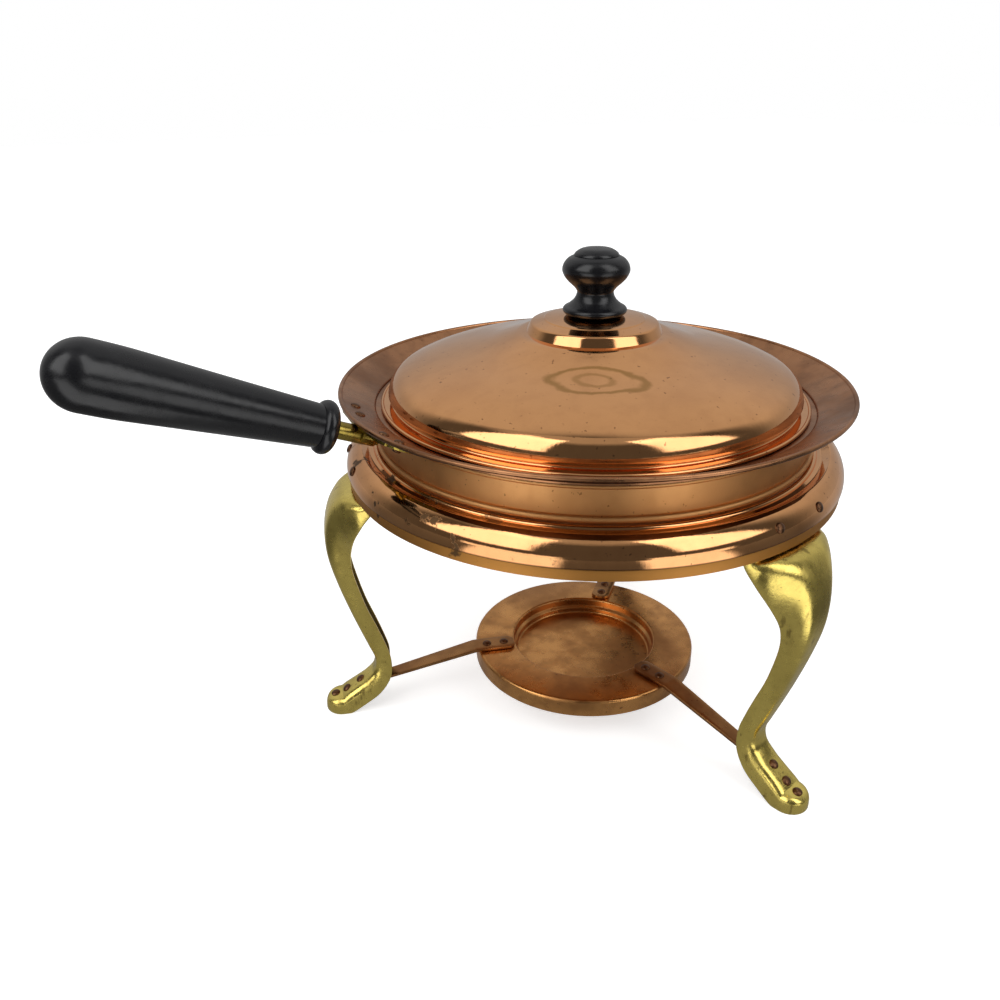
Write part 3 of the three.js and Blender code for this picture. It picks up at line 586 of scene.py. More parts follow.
for i, azimuth in enumerate(leg_azimuths):
    place = turned_to(azimuth)
    channel = joined([leg_section(station) for station in leg_stations()])
    facing(channel, lambda point: Vector((point.x - leg_middle, point.y, 0)))
    nodes = [f"leg_{i + 1}"]
    leg = place_piece(f"brass_leg_{i + 1}", channel, leg_brass, "stand", nodes, place)
    # The wall's inner faces take the painted shade.
    leg.data.materials.append(shaded_hollow_brass)
    thickened(leg, leg_wall, 0.45 * mm).modifiers["wall"].material_offset = 1
    strip = joined(leg_tab())
    facing(strip, lambda point: Vector((point.x - leg_middle, point.y, 10 * mm)))
    tab = place_piece(f"leg_tab_{i + 1}", strip, leg_brass, "stand", [], place)
    thickened(tab, leg_wall, 0.4 * mm)

# Ring rivets: two round-headed copper rivets for each leg, through the bulge and the tab behind it. The
# hammered heads are dark, with bright metal only where they have been rubbed.
rivet_head_radius = 2.7 * mm
rivet_head_height = 1.3 * mm
rivet_shank_radius = 1.6 * mm
rivet_tail_radius = 2.3 * mm
rivet_tail_height = 0.9 * mm
ring_rivet_angle = math.radians(27)
ring_rivet_spread = 16.8 * mm
ring_rivet_stack = copper_sheet + leg_wall + 0.9 * mm + 3 * gap


def rivet(stack):
    """A rivet along z: its domed head sits on z = 0 and its tail is a stack of sheets below."""
    head = arc((0, 0), rivet_head_radius, rivet_head_height, 0, 62, 6)
    crown = [(0.42 * rivet_head_radius, 0.93 * rivet_head_height), (0, 0.97 * rivet_head_height)]
    tail = arc((0, -stack), rivet_tail_radius, rivet_tail_height, -90, 0, 5)
    shank = [(rivet_shank_radius, -stack), (rivet_shank_radius, 0)]
    return spun([*tail, *shank, *head, *crown], 24)


def leaning(out, up, lean, turn):
    """A place on the dish at a radius and height, leaning outwards, turned to an azimuth."""
    upright = Matrix.Translation((out, 0, up)) @ Matrix.Rotation(lean, 4, "Y")
    return turned_to(turn) @ upright


def rivet_finish():
    """Dark, dull copper with worn bright spots on the crowns."""
    finish, tree, shader, point = blank_finish("rivet_copper")
    wear = clouds(tree, point, 1.8 * mm, 3, 0.5, 0.72)
    colour = blended(tree, times(tree, wear, 0.55), (0.15, 0.07, 0.035), (0.48, 0.26, 0.13))
    tree.links.new(colour, shader.inputs["Base Color"])
    shader.inputs["Metallic"].default_value = 1
    shader.inputs["Roughness"].default_value = 0.38
    pits = clouds(tree, point, 0.8 * mm, 3, 0.3, 0.8)
    tree.links.new(bumps(tree, [(pits, 0.04 * mm)]), shader.inputs["Normal"])
    return finish


rivet_copper = rivet_finish()


def place_rivet(name, node, stack, body, place):
    """Makes a rivet for a stack of sheets and puts it in the place of its node."""
    place_piece(name, rivet(stack), rivet_copper, body, [node], place)


ring_rivet_turn = math.asin(ring_rivet_spread / (bulge_place + bulge_round))
ring_rivet_lean = math.pi / 2 - ring_rivet_angle
ring_rivet_out = bulge_place + bulge_round * math.cos(ring_rivet_angle)
ring_rivet_up = bulge_height + bulge_round * math.sin(ring_rivet_angle)
for i, azimuth in enumerate(leg_azimuths):
    for side, letter in ((-1, "a"), (1, "b")):
        turn = azimuth + side * ring_rivet_turn
        place_rivet(
            f"ring_stud_{i + 1}{letter}",
            f"ring_rivet_{i + 1}{letter}",
            ring_rivet_stack,
            "stand",
            leaning(ring_rivet_out, ring_rivet_up, ring_rivet_lean, turn),
        )

# Burner tray: a shallow copper disc with a turned-down skirt and a round recess that holds the burner.
# It is the darkest of the copper pieces, partly tarnish and partly painted shade from the pans above, and
# nothing stands in it.
tray_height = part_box("burner_tray")[1].z
tray_radius = 67.8 * mm
tray_edge_radius = 2 * mm
tray_skirt = 10.3 * mm
recess_radius = 43.5 * mm
recess_depth = 10 * mm
recess_lip = 1.5 * mm
recess_step = 1.6 * mm
recess_step_height = 5 * mm
recess_floor = tray_height - recess_depth
tray_face = rounded(
    [
        (tray_radius, tray_height - tray_skirt, 0),
        (tray_radius, tray_height, tray_edge_radius),
        (recess_radius, tray_height, recess_lip),
        (recess_radius, recess_floor + recess_step_height, 0.6 * mm),
        (recess_radius - recess_step, recess_floor + recess_step_height - recess_step, 0.6 * mm),
        (recess_radius - recess_step, recess_floor, recess_lip),
        (0, recess_floor, 0),
    ]
)
# Dark copper: tarnish, and painted shade from the pans above it.
tray_copper = copper(
    "tray_copper",
    bright=(0.80, 0.39, 0.13),
    dull=(0.42, 0.19, 0.065),
    dull_share=0.85,
    gloss=0.22,
    haze=0.42,
)
tray_shape = spun(sheet_outline(tray_face, copper_sheet), 128)
place_piece("copper_tray", tray_shape, tray_copper, "stand", ["burner_tray"])

# Straps: three flat copper strips riveted on the tray. Each drops from its edge and runs out to a foot,
# where its narrowed end is riveted inside the hollow of the foot.
strap_thickness = 2 * mm
strap_half = 5.8 * mm
strap_tongue_half = 3.8 * mm
strap_drop = 1.3 * mm
strap_inner = recess_radius + 1.5 * mm
strap_bend_place = tray_radius + 1.7 * mm
strap_bend_radius = 9 * mm
strap_taper = 9 * mm
strap_end_share = 0.35
strap_tongue_place = leg_top_radius - 12 * mm
foot_rivet_shares = [0.27, 0.56, 0.79]


def foot_top(share):
    """(out, up, lean) of the foot's top at a share of the way from the leg's top radius to the toe."""
    out = leg_top_radius + share * toe_out
    line = [station[:2] for station in leg_stations()][line_steps * (len(shank_shares) - 1) :]
    for (out_a, up_a), (out_b, up_b) in zip(line, line[1:]):
        if out_a <= out < out_b:
            up = up_a + (up_b - up_a) * (out - out_a) / (out_b - out_a)
            return out, up, math.atan2(up_a - up_b, out_b - out_a)


def strap_line():
    """The strap's lower face as (out, up) points, from the tray to its end inside the foot."""
    under = leg_wall + gap + strap_drop + strap_thickness
    inside = []
    for share in foot_rivet_shares:
        out, up, lean = foot_top(share)
        inside.append((out - under * math.sin(lean), up - under * math.cos(lean)))
    first, middle, last = inside

    def past(start, end):
        return tuple(b + strap_end_share * (b - a) for a, b in zip(start, end))

    return rounded(
        [
            (strap_inner, tray_height + gap, 0),
            (strap_inner + strap_half / 2, tray_height + gap, 0),
            (strap_bend_place, tray_height + gap, strap_bend_radius),
            (*past(middle, first), strap_bend_radius),
            (*middle, 0),
            (*last, 0),
            (*past(middle, last), 0),
        ]
    )


def strap_half_width(out):
    """Half the strap's width at a radius: its inner corners are cut off and its tongue is narrower."""
    corner = strap_half / 2 + (out - strap_inner)
    along = (out - strap_tongue_place + strap_taper) / strap_taper
    tapered = strap_half + (strap_tongue_half - strap_half) * min(max(along, 0), 1)
    return min(corner, tapered)


strap_copper = copper(
    "strap_copper",
    bright=(0.48, 0.235, 0.085),
    dull=(0.26, 0.115, 0.045),
    dull_share=0.8,
    gloss=0.25,
    haze=0.42,
)
for i, azimuth in enumerate(leg_azimuths):
    rows = [
        [(out, across * strap_half_width(out), up) for across in (-1, -0.5, 0, 0.5, 1)]
        for out, up in strap_line()
    ]
    strap_shape = facing(joined(rows), lambda point: Vector((0, 0, -1)))
    strap = place_piece(
        f"copper_strap_{i + 1}",
        strap_shape,
        strap_copper,
        "stand",
        [f"strap_{i + 1}"],
        turned_to(azimuth),
    )
    thickened(strap, strap_thickness, 0.35 * mm)

# Tray and foot rivets: two on each strap where it lies on the tray, and three in a row down the top of
# each foot, all dark copper.
tray_rivet_places = [tray_radius - 16.5 * mm, tray_radius - 5.8 * mm]
tray_rivet_stack = strap_thickness + copper_sheet + 3 * gap
foot_rivet_stack = leg_wall + strap_drop + strap_thickness + 5 * gap
for i, azimuth in enumerate(leg_azimuths):
    for out, letter in zip(tray_rivet_places, "ab"):
        place_rivet(
            f"tray_stud_{i + 1}{letter}",
            f"tray_rivet_{i + 1}{letter}",
            tray_rivet_stack,
            "stand",
            leaning(out, tray_height + strap_thickness + gap, 0, azimuth),
        )
    for share, letter in zip(foot_rivet_shares, "abc"):
        out, up, lean = foot_top(share)
        place_rivet(
            f"foot_stud_{i + 1}{letter}",
            f"foot_rivet_{i + 1}{letter}",
            foot_rivet_stack,
            "stand",
            leaning(out, up, lean, azimuth),
        )

# Water pan: a plain spun copper pan for hot water. A swaged bead round its wall hangs on the ring's
# rolled edge, and its own edge is rolled to carry the food pan.
water_wall_radius = 118.5 * mm
swage_radius = 1.9 * mm
swage_out = 0.4 * mm
water_roll_radius = 1.3 * mm
water_wall_upper = 15.9 * mm
water_depth = 33.3 * mm
water_corner = 12 * mm
swage_reach = ring_roll_radius + swage_radius + gap
swage_apart = ring_roll_place - water_wall_radius - swage_out
swage_height = ring_roll_height + math.sqrt(swage_reach**2 - swage_apart**2)
water_roll_height = swage_height + water_wall_upper
water_floor = swage_height - water_depth
water_face = [
    *rounded(
        [
            (0, water_floor, 0),
            (water_wall_radius, water_floor, water_corner),
            (water_wall_radius, swage_height - swage_radius, 0),
        ],
        12,
    ),
    *arc((water_wall_radius + swage_out, swage_height), swage_radius, swage_radius, -78, 78, 12),
    (water_wall_radius, swage_height + swage_radius),
    (water_wall_radius, water_roll_height),
]
satin_copper = copper(
    "satin_copper",
    bright=(0.70, 0.355, 0.135),
    dull=(0.56, 0.27, 0.095),
    dull_share=0.5,
    gloss=0.44,
    haze=0.54,
    dents=0.1 * mm,
)
water_shape = spun(sheet_outline(water_face, copper_sheet, 0, water_roll_radius))
place_piece("hot_water_pan", water_shape, satin_copper, "water_pan", ["water_pan"])

# Food pan: a deeper-coloured copper pan inside the water pan. Its ledge rests on the water pan's rolled
# edge and carries the lid. Its wide flared rim has gone brown from handling; its downward faces get painted
# shade.
food_play = 1.1 * mm
food_wall_top = water_wall_radius - copper_sheet / 2 - water_roll_radius - food_play
food_taper = 6 * mm
food_corner = 14 * mm
water_space = 9.3 * mm
ledge_bend = 1.8 * mm
step_out = 2.4 * mm
step_rise = 1.4 * mm
rim_rise = 8.6 * mm
rim_bead = 1.2 * mm
dish_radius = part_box("food_pan")[1].x - axis.x
food_floor = water_floor + copper_sheet + water_space
ledge_under = water_roll_height + water_roll_radius + gap
step_radius = water_wall_radius + step_out
rim_end = dish_radius - rim_bead
rim_low = ledge_under + step_rise
rim_slope = math.atan2(rim_rise, rim_end - step_radius)
food_face = rounded(
    [
        (0, food_floor, 0),
        (food_wall_top - food_taper, food_floor, food_corner),
        (food_wall_top, ledge_under, ledge_bend),
        (step_radius, ledge_under, 0.3 * mm),
        (step_radius, rim_low, 0.9 * mm),
        (rim_end, rim_low + rim_rise, 0),
    ]
)
rim_copper = copper(
    "rim_copper",
    bright=(0.50, 0.235, 0.11),
    dull=(0.25, 0.115, 0.055),
    dull_share=0.8,
    gloss=0.24,
    haze=0.42,
    dents=0.2 * mm,
)
food_shape = spun(sheet_outline(food_face, copper_sheet, 0, rim_bead))
pan = place_piece(
    "copper_food_pan", food_shape, rim_copper, "food_pan", ["food_pan"]
)
# Painted shade: a near-black copper for the pan's downward faces, under the rim and the ledge.
underside_shade_copper = copper(
    "underside_shade_copper",
    bright=(0.13, 0.055, 0.025),
    dull=(0.05, 0.022, 0.012),
    dull_share=0.8,
    gloss=0.3,
    haze=0.5,
)
pan.data.materials.append(underside_shade_copper)
# Faces that look down take the painted shade.
for face in pan.data.polygons:
    face.material_index = int(face.normal.z < -0.3)

# Handle bracket: a brass plate bent to the underside of the rim, with a saddle for the rod. The CAD solid
# has its shape and stays, with a brass finish. Four rivets hold it to the rim.
# Dark tarnished brass for the rod and bracket; on the bracket under the rim, its darkness is also painted
# shade.
handle_brass = brass(
    "handle_brass",
    bright=(0.46, 0.35, 0.07),
    dull=(0.20, 0.14, 0.035),
    dull_share=0.7,
    gloss=0.2,
    haze=0.42,
)
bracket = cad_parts["handle_bracket"]
bracket.data.materials.clear()
bracket.data.materials.append(handle_brass)
rim_rivet_radius = 131 * mm
rim_rivet_offsets = [-29.9 * mm, -16.4 * mm, 16.4 * mm, 29.9 * mm]
bracket_thickness = 2 * mm
rim_rivet_stack = copper_sheet + bracket_thickness + 3 * gap
rim_rivet_up = (
    rim_low
    + (rim_rivet_radius - step_radius) * math.tan(rim_slope)
    + copper_sheet / math.cos(rim_slope)
)
for i, offset in enumerate(rim_rivet_offsets):
    turn = math.pi + math.asin(offset / rim_rivet_radius)
    place_rivet(
        f"rim_stud_{i + 1}",
        f"rim_rivet_{i + 1}",
        rim_rivet_stack,
        "food_pan",
        leaning(rim_rivet_radius, rim_rivet_up, -rim_slope, turn),
    )

# Handle rod and grip: a round brass rod brazed in the saddle, with a thinner tang inside a turned wooden
# grip. The grip is lacquered black and swells from a bead at its neck to a round end.
rod_radius = 4.5 * mm
rod_slope = rim_slope - math.radians(3.7)
rod_start = 129 * mm
collar_radius = 150.5 * mm
tang_radius = 3 * mm
tang_length = 62 * mm
rim_bead_under = rim_low + rim_rise + copper_sheet / 2 - rim_bead
rod_pass = rim_bead_under - gap - rod_radius / math.cos(rod_slope)


def along_handle(radius):
    """The place of a piece made along z, which starts at a radius and leans up along the handle."""
    up = rod_pass + (radius - rim_end) * math.tan(rod_slope)
    upright = Matrix.Translation((radius, 0, up)) @ Matrix.Rotation(math.pi / 2 - rod_slope, 4, "Y")
    return turned_to(math.pi) @ upright


rod_shoulder = (collar_radius - rod_start) / math.cos(rod_slope) - gap
rod_outline = rounded(
    [
        (0, 0, 0),
        (rod_radius, 0, 0.5 * mm),
        (rod_radius, rod_shoulder, 0.4 * mm),
        (tang_radius, rod_shoulder, 0),
        (tang_radius, rod_shoulder + gap + tang_length, 0.6 * mm),
        (0, rod_shoulder + gap + tang_length, 0),
    ],
    4,
)
place_piece(
    "brass_rod",
    spun(rod_outline, 40),
    handle_brass,
    "food_pan",
    ["handle_rod"],
    along_handle(rod_start),
)

grip_length = 128.1 * mm
grip_radius = 16 * mm
grip_collar_radius = 13.4 * mm
grip_neck_radius = 10.8 * mm
collar_width = 7.5 * mm
tang_bore = tang_radius + gap
bulb_centre = grip_length - grip_radius
grip_swell = [
    (
        grip_neck_radius + (grip_radius - grip_neck_radius) * out,
        collar_width + (bulb_centre - collar_width) * along,
    )
    for along, out in ((0, 0), (0.3, 0.33), (0.62, 0.7), (0.85, 0.96), (1, 1))
]
collar_bead = collar_width / 2
grip_outline = [
    (tang_bore, 0),
    *arc((grip_collar_radius - collar_bead, collar_bead), collar_bead, collar_bead, -90, 80, 12),
    *through(grip_swell, 8),
    *arc((0, bulb_centre), grip_radius, grip_radius, 6, 90, 16),
    (0, tang_length + gap),
    (tang_bore, tang_length + gap),
]


def black_lacquer():
    """Black lacquer on turned wood: a soft gloss with faint waves and fine grain in its surface, and lighter
    rubbed spots.
    """
    finish, tree, shader, point = blank_finish("black_lacquer")
    rubbed = clouds(tree, point, 9 * mm, 6, 0.5, 0.8)
    colour = blended(tree, times(tree, rubbed, 0.5), (0.004, 0.004, 0.005), (0.010, 0.011, 0.012))
    tree.links.new(colour, shader.inputs["Base Color"])
    smudges = clouds(tree, point, 14 * mm, 6, 0.3, 0.75, 0.65)
    sheen = add(tree, "ShaderNodeMapRange", {"Value": smudges, "To Min": 0.2, "To Max": 0.32})
    tree.links.new(sheen.outputs["Result"], shader.inputs["Roughness"])
    grain = clouds(tree, point, 1.2 * mm, 5, 0.2, 0.8)
    waves = clouds(tree, point, 16 * mm, 2, 0.2, 0.8)
    normal = bumps(tree, [(waves, 0.12 * mm), (grain, 0.012 * mm)])
    tree.links.new(normal, shader.inputs["Normal"])
    return finish


lacquer = black_lacquer()
place_piece(
    "black_grip",
    spun(grip_outline, 64),
    lacquer,
    "food_pan",
    ["handle_grip"],
    along_handle(collar_radius),
)

# Lid: a spun copper dome that lifts off. Its flat flange rests on the ledge, a short wall and a rounded
# shoulder rise from it, and the boss at the top carries the knob. A drop has dried on the dome's front.
lid_play = 2.7 * mm
lid_bead = 1 * mm
lid_flange_end = step_radius - copper_sheet - lid_play - lid_bead
lid_wall_radius = 110.2 * mm
lid_foot = 1.2 * mm
shoulder_radius = 112.8 * mm
wall_height = 3.6 * mm
shoulder_low = 4.5 * mm
shoulder_lean = 2 * mm
shoulder_height = 12.8 * mm
shoulder_bend = 13 * mm
dome_edge_radius = 104 * mm
dome_edge_height = 16.2 * mm
dome_rise = 19.5 * mm
boss_foot_radius = 36.8 * mm
boss_radius = 34.4 * mm
boss_rise = 4.9 * mm
boss_bend = 2.2 * mm
boss_slope = 1.6 * mm
boss_step_radius = 26.8 * mm
boss_step_rise = 0.5 * mm
boss_seat_radius = 12 * mm
boss_seat_rise = 1.8 * mm
screw_radius = 2.1 * mm
lid_flange_middle = ledge_under + copper_sheet + gap + lid_bead
dome_foot = lid_flange_middle + dome_edge_height
boss_foot = dome_foot + dome_rise
boss_step = boss_foot + boss_rise + boss_slope + boss_step_rise
boss_top = boss_step + boss_seat_rise
dome_shares = [
    (0, 0),
    (0.09, 0.13),
    (0.21, 0.27),
    (0.36, 0.405),
    (0.51, 0.523),
    (0.66, 0.655),
    (0.8, 0.812),
    (0.88, 0.905),
    (0.94, 0.975),
    (1, 1),
]
dome_line = through(
    [
        (
            dome_edge_radius + (boss_foot_radius - dome_edge_radius) * inwards,
            dome_foot + dome_rise * up,
        )
        for inwards, up in dome_shares
    ],
    6,
)
lid_face = [
    *rounded(
        [
            (lid_flange_end, lid_flange_middle + copper_sheet / 2, 0),
            (lid_wall_radius, lid_flange_middle + copper_sheet / 2, lid_foot),
            (lid_wall_radius, lid_flange_middle + wall_height, 1 * mm),
            (shoulder_radius, lid_flange_middle + shoulder_low, 0.7 * mm),
            (shoulder_radius - shoulder_lean, lid_flange_middle + shoulder_height, shoulder_bend),
            (*dome_line[0], 0),
        ]
    ),
    *dome_line[1:],
    *rounded(
        [
            (*dome_line[-1], 0),
            (boss_radius, boss_foot + boss_rise, boss_bend),
            (boss_step_radius + 0.7 * mm, boss_step - boss_step_rise, 0.3 * mm),
            (boss_step_radius, boss_step, 0.3 * mm),
            (boss_seat_radius, boss_top, 3 * mm),
            (screw_radius + gap, boss_top, 0),
        ]
    )[1:],
]
lid_copper = copper(
    "lid_copper",
    bright=(0.90, 0.45, 0.19),
    dull=(0.70, 0.33, 0.14),
    dull_share=0.4,
    gloss=0.05,
    haze=0.13,
    dents=0.2 * mm,
)
drop_azimuth = math.radians(-122.5)
drop_place = 64.5 * mm
drop_half_length = 10.8 * mm
drop_half_width = 22.3 * mm


def drop_outline():
    """Draws the oval outline of a dried drop, and a smaller one inside it, on the front of the dome."""
    tree = lid_copper.node_tree
    shader = tree.nodes["Principled BSDF"]
    coordinates = add(tree, "ShaderNodeTexCoord").outputs["Object"]
    toward = Vector((math.cos(drop_azimuth), math.sin(drop_azimuth), 0))
    placed = add(
        tree,
        "ShaderNodeMapping",
        {
            "Vector": coordinates,
            "Location": axis + toward * drop_place + Vector((0, 0, dome_foot)),
            "Rotation": (0, 0, drop_azimuth),
            "Scale": (drop_half_length, drop_half_width, 1),
        },
        vector_type="TEXTURE",
    )
    away = add(tree, "ShaderNodeVectorMath", {0: placed.outputs["Vector"]}, operation="LENGTH")
    wobble = add(tree, "ShaderNodeTexNoise", {"Vector": coordinates, "Scale": 70, "Detail": 3})
    uneven = add(
        tree,
        "ShaderNodeMath",
        {0: wobble.outputs["Fac"], 1: 0.6, 2: away.outputs["Value"]},
        operation="MULTIPLY_ADD",
    )
    colour = shader.inputs["Base Color"].links[0].from_socket
    for size, share in ((1.3, 0.8), (0.72, 0.55)):
        off = add(tree, "ShaderNodeMath", {0: uneven.outputs[0], 1: size}, operation="SUBTRACT")
        near = add(tree, "ShaderNodeMath", {0: off.outputs[0]}, operation="ABSOLUTE")
        line = add(
            tree,
            "ShaderNodeMapRange",
            {"Value": near.outputs[0], "From Min": 0.03, "From Max": 0.17, "To Min": share, "To Max": 0.0},
            interpolation_type="SMOOTHSTEP",
        )
        colour = blended(tree, line.outputs["Result"], colour, (0.44, 0.22, 0.06))
    tree.links.new(colour, shader.inputs["Base Color"])


drop_outline()
lid_shape = spun(sheet_outline(lid_face, copper_sheet, lid_bead), 192)
place_piece("copper_lid", lid_shape, lid_copper, "lid", ["lid"])

# Lid knob: one turned piece of wood, lacquered black, with a bead at its foot, a neck, a bulb and a
# small cap. A brass screw with a washer holds it from inside the lid.
knob_radius = 17.9 * mm
knob_base_radius = 17.2 * mm
screw_length = 18 * mm
screw_head_radius = 4.2 * mm
screw_head_height = 2.4 * mm
washer_radius = 7 * mm
washer_thickness = 1 * mm
knob_bottom = boss_top + gap
knob_height = knob_box[1].z - knob_bottom


def turned(radius, shares, steps=5):
    """A smooth line on the knob through shares (of a radius, of the knob's height)."""
    return through([(out * radius, knob_bottom + up * knob_height) for out, up in shares], steps)


knob_foot = turned(
    knob_base_radius,
    [(0.84, 0), (0.95, 0.02), (1, 0.062), (0.965, 0.105), (0.83, 0.145), (0.68, 0.21), (0.6, 0.27)],
)
knob_bulb = turned(
    knob_radius,
    [
        (0.553, 0.31),
        (0.55, 0.35),
        (0.64, 0.415),
        (0.79, 0.485),
        (0.91, 0.553),
        (0.98, 0.62),
        (1, 0.68),
        (0.955, 0.76),
        (0.84, 0.83),
        (0.69, 0.872),
        (0.655, 0.878),
    ],
)
knob_cap = turned(knob_radius, [(0.665, 0.885), (0.6, 0.928), (0.4, 0.978), (0, 1)])
screw_bore = screw_radius + gap
knob_outline = [
    (screw_bore, knob_bottom),
    *knob_foot,
    *knob_bulb,
    *knob_cap,
    (0, knob_bottom + screw_length + gap),
    (screw_bore, knob_bottom + screw_length + gap),
]
place_piece("black_knob", spun(knob_outline, 96), lacquer, "lid", ["lid_knob"])

washer_top = boss_top - copper_sheet - gap
washer_outline = [
    (screw_bore, washer_top - washer_thickness),
    (washer_radius - 0.2 * mm, washer_top - washer_thickness),
    (washer_radius, washer_top - washer_thickness + 0.2 * mm),
    (washer_radius, washer_top),
    (screw_bore, washer_top),
]
place_piece("brass_washer", spun(washer_outline, 48), leg_brass, "lid", ["knob_washer"])

head_top = washer_top - washer_thickness - gap
screw_outline = [
    *arc((0, head_top), screw_head_radius, screw_head_height, -90, 0, 10),
    (screw_radius, head_top),
    (screw_radius, knob_bottom + screw_length),
    (0, knob_bottom + screw_length),
]
place_piece("brass_screw", spun(screw_outline, 40), leg_brass, "lid", ["knob_screw"])

# Studio: a pale floor, two large soft lamps high at the left and right, and a pale room in which polished
# metal sees those lamps and their light on the table. The camera stands a little above the dish.
floor_shape = bmesh.new()
bmesh.ops.create_grid(floor_shape, x_segments=1, y_segments=1, size=6)
floor_mesh = bpy.data.meshes.new("floor")
floor_shape.to_mesh(floor_mesh)
floor_shape.free()
floor = bpy.data.objects.new("floor", floor_mesh)
bpy.context.scene.collection.objects.link(floor)


def band(tree, value, middle, half, edge):
    """1 where a value is within half a width of the middle, and 0 beyond a soft edge."""
    off = add(tree, "ShaderNodeMath", {0: value, 1: middle}, operation="SUBTRACT")
    away = add(tree, "ShaderNodeMath", {0: off.outputs[0]}, operation="ABSOLUTE")
    feeds = {
        "Value": away.outputs[0],
        "From Min": half - edge / 2,
        "From Max": half + edge / 2,
        "To Min": 1.0,
        "To Max": 0.0,
    }
    return add(tree, "ShaderNodeMapRange", feeds, interpolation_type="SMOOTHSTEP").outputs["Result"]


def sector(tree, heading, azimuth, half_width, edge=6):
    """1 where a direction or a place round the dish lies within half a width of an azimuth in degrees."""
    parts = add(tree, "ShaderNodeSeparateXYZ", {"Vector": heading})
    flat = add(tree, "ShaderNodeCombineXYZ", {"X": parts.outputs["X"], "Y": parts.outputs["Y"]})
    level = add(tree, "ShaderNodeVectorMath", {0: flat.outputs[0]}, operation="NORMALIZE")
    aim = Vector((math.cos(math.radians(azimuth)), math.sin(math.radians(azimuth)), 0))
    feeds = {0: level.outputs["Vector"], 1: aim}
    along = add(tree, "ShaderNodeVectorMath", feeds, operation="DOT_PRODUCT").outputs["Value"]
    aside = add(tree, "ShaderNodeMath", {0: along}, operation="ARCCOSINE").outputs[0]
    return band(tree, aside, 0, math.radians(half_width), math.radians(edge))


def lifted(tree, total, patch, strength):
    """Adds a patch of light to a level."""
    feeds = {0: patch, 1: strength, 2: total}
    return add(tree, "ShaderNodeMath", feeds, operation="MULTIPLY_ADD").outputs[0]


# The table as polished metal sees it: lit by the two lamps at the left and right, dim where the
# photographer stands and under the dish, and pale behind it.
lamp_light = 2
table_shine = 1.3
floor_finish, tree, floor_shader, point = blank_finish("pale_floor")
radius = add(tree, "ShaderNodeVectorMath", {0: point}, operation="LENGTH").outputs["Value"]
table = lifted(tree, 0.09, sector(tree, point, 56, 75, 30), 0.3)
table = lifted(tree, table, band(tree, radius, 0, 0.27, 0.08), 0.16)
far = band(tree, radius, 3.27, 3, 0.06)
table = lifted(tree, table, times(tree, far, sector(tree, point, -152, 18)), table_shine)
table = lifted(tree, table, times(tree, far, sector(tree, point, -85, 17)), table_shine)
seen = add(tree, "ShaderNodeLightPath").outputs
shine = lifted(tree, times(tree, seen["Is Camera Ray"], 0.6), seen["Is Glossy Ray"], table)
own_colour = blended(tree, seen["Is Glossy Ray"], (0.82, 0.82, 0.82), (0.0, 0.0, 0.0))
tree.links.new(own_colour, floor_shader.inputs["Base Color"])
tree.links.new(shine, floor_shader.inputs["Emission Strength"])
floor_shader.inputs["Emission Color"].default_value = (1, 1, 1, 1)
floor_shader.inputs["Roughness"].default_value = 0.9
floor_mesh.materials.append(floor_finish)


def soft_lamp(name, azimuth, elevation, distance, width, height, watts):
    """A rectangular softbox that faces the dish from a direction given in degrees."""
    lamp = bpy.data.lights.new(name, "AREA")
    lamp.shape = "RECTANGLE"
    lamp.size = width
    lamp.size_y = height
    lamp.energy = watts
    heading = Vector((math.cos(math.radians(azimuth)), math.sin(math.radians(azimuth)), 0))
    heading = heading * math.cos(math.radians(elevation))
    heading.z = math.sin(math.radians(elevation))
    stand = bpy.data.objects.new(name, lamp)
    stand.location = axis + Vector((0, 0, stand_height)) + heading * distance
    stand.rotation_euler = heading.to_track_quat("Z", "Y").to_euler()
    stand.visible_camera = False
    stand.visible_glossy = False
    bpy.context.scene.collection.objects.link(stand)


soft_lamp("left_softbox", -172, 48, 1.5, 1.2, 1.2, 9)
soft_lamp("right_softbox", -62, 48, 1.5, 1.0, 1.2, 7)

room = bpy.data.worlds.new("room")
bpy.context.scene.world = room
room.use_nodes = True
tree = room.node_tree
background = tree.nodes["Background"]
heading = add(tree, "ShaderNodeTexCoord").outputs["Generated"]
upward = add(tree, "ShaderNodeSeparateXYZ", {"Vector": heading}).outputs["Z"]
elevation = add(tree, "ShaderNodeMath", {0: upward}, operation="ARCSINE").outputs[0]


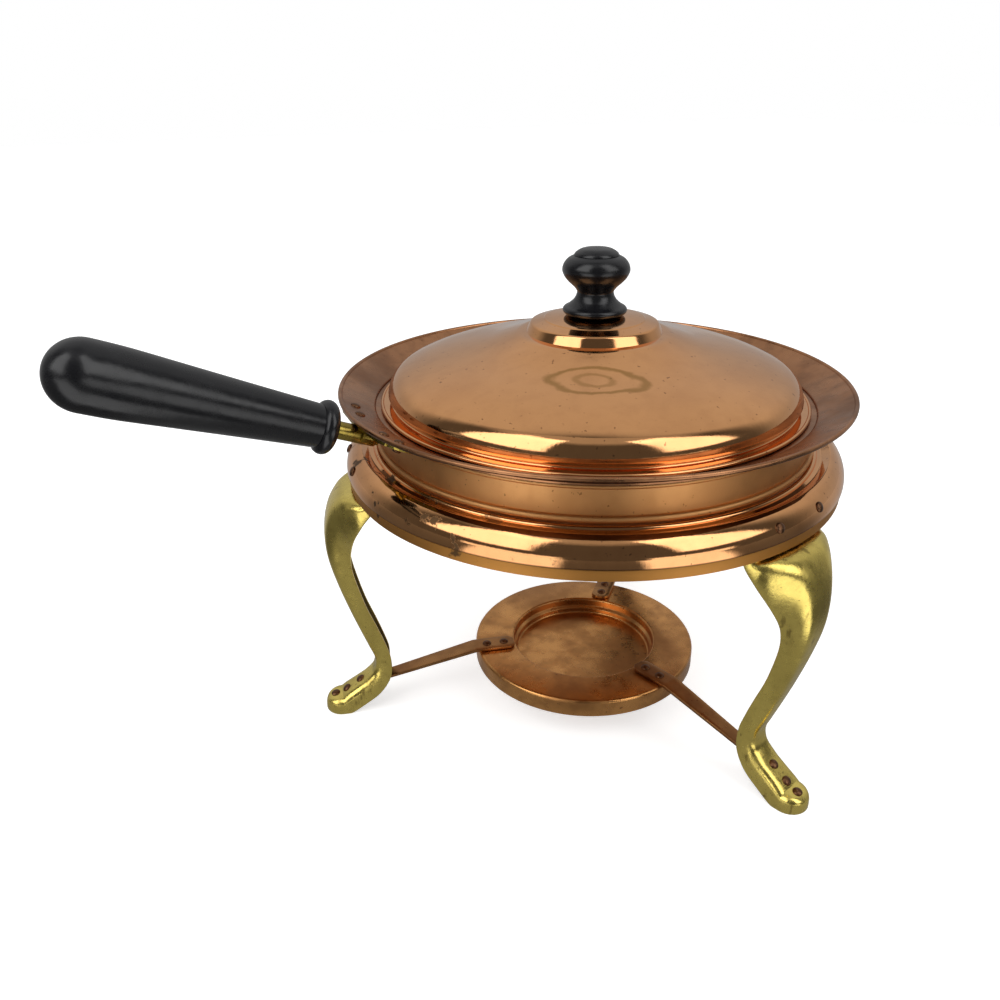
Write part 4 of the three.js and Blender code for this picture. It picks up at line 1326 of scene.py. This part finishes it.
def soft_patch(azimuth, half_width, middle, half_height, edge=6):
    """A patch of the room at a direction in degrees, 1 inside and 0 outside, with soft edges."""
    rows = band(
        tree, elevation, math.radians(middle), math.radians(half_height), math.radians(edge)
    )
    return times(tree, rows, sector(tree, heading, azimuth, half_width, edge))


room_light = lifted(tree, 0.09, soft_patch(56, 75, 8, 70, 30), 0.3)
room_light = lifted(tree, room_light, soft_patch(56, 75, 52, 30, 24), 0.14)
room_light = lifted(tree, room_light, soft_patch(-124, 100, 86, 26, 16), 0.3)
room_light = lifted(tree, room_light, soft_patch(-173, 25, 44, 26), lamp_light)
room_light = lifted(tree, room_light, soft_patch(-63, 21, 44, 26), lamp_light)
room_light = lifted(tree, room_light, soft_patch(-156, 21, 0, 5, 4), table_shine)
room_light = lifted(tree, room_light, soft_patch(-80, 18, 0, 5, 4), table_shine)
rays = add(tree, "ShaderNodeLightPath")
shown = add(
    tree,
    "ShaderNodeMath",
    {0: rays.outputs["Is Camera Ray"], 1: rays.outputs["Is Transmission Ray"]},
    operation="MAXIMUM",
)
plain = add(tree, "ShaderNodeMath", {0: shown.outputs[0], 1: 1.0}, operation="MINIMUM")
soft = add(tree, "ShaderNodeMix", {0: rays.outputs["Is Diffuse Ray"], 2: room_light, 3: 0.55})
strength = add(tree, "ShaderNodeMix", {0: plain.outputs[0], 2: soft.outputs[0], 3: 1.0})
tree.links.new(strength.outputs[0], background.inputs["Strength"])
background.inputs["Color"].default_value = (1, 1, 1, 1)

camera_data = bpy.data.cameras.new("camera")
camera_data.lens = 32.343
camera_data.sensor_width = 36
camera = bpy.data.objects.new("camera", camera_data)
camera_from_dish = Vector((-269.49, -399.53, 350.58)) * mm
camera_turn = math.radians(-27.825)
camera_tilt = math.radians(64.782)
camera_roll = math.radians(-0.579)
camera.matrix_world = (
    Matrix.Translation(axis + camera_from_dish)
    @ Matrix.Rotation(camera_turn, 4, "Z")
    @ Matrix.Rotation(camera_tilt, 4, "X")
    @ Matrix.Rotation(camera_roll, 4, "Z")
)
bpy.context.scene.collection.objects.link(camera)
bpy.context.scene.camera = camera
bpy.context.scene.view_settings.view_transform = "Standard"
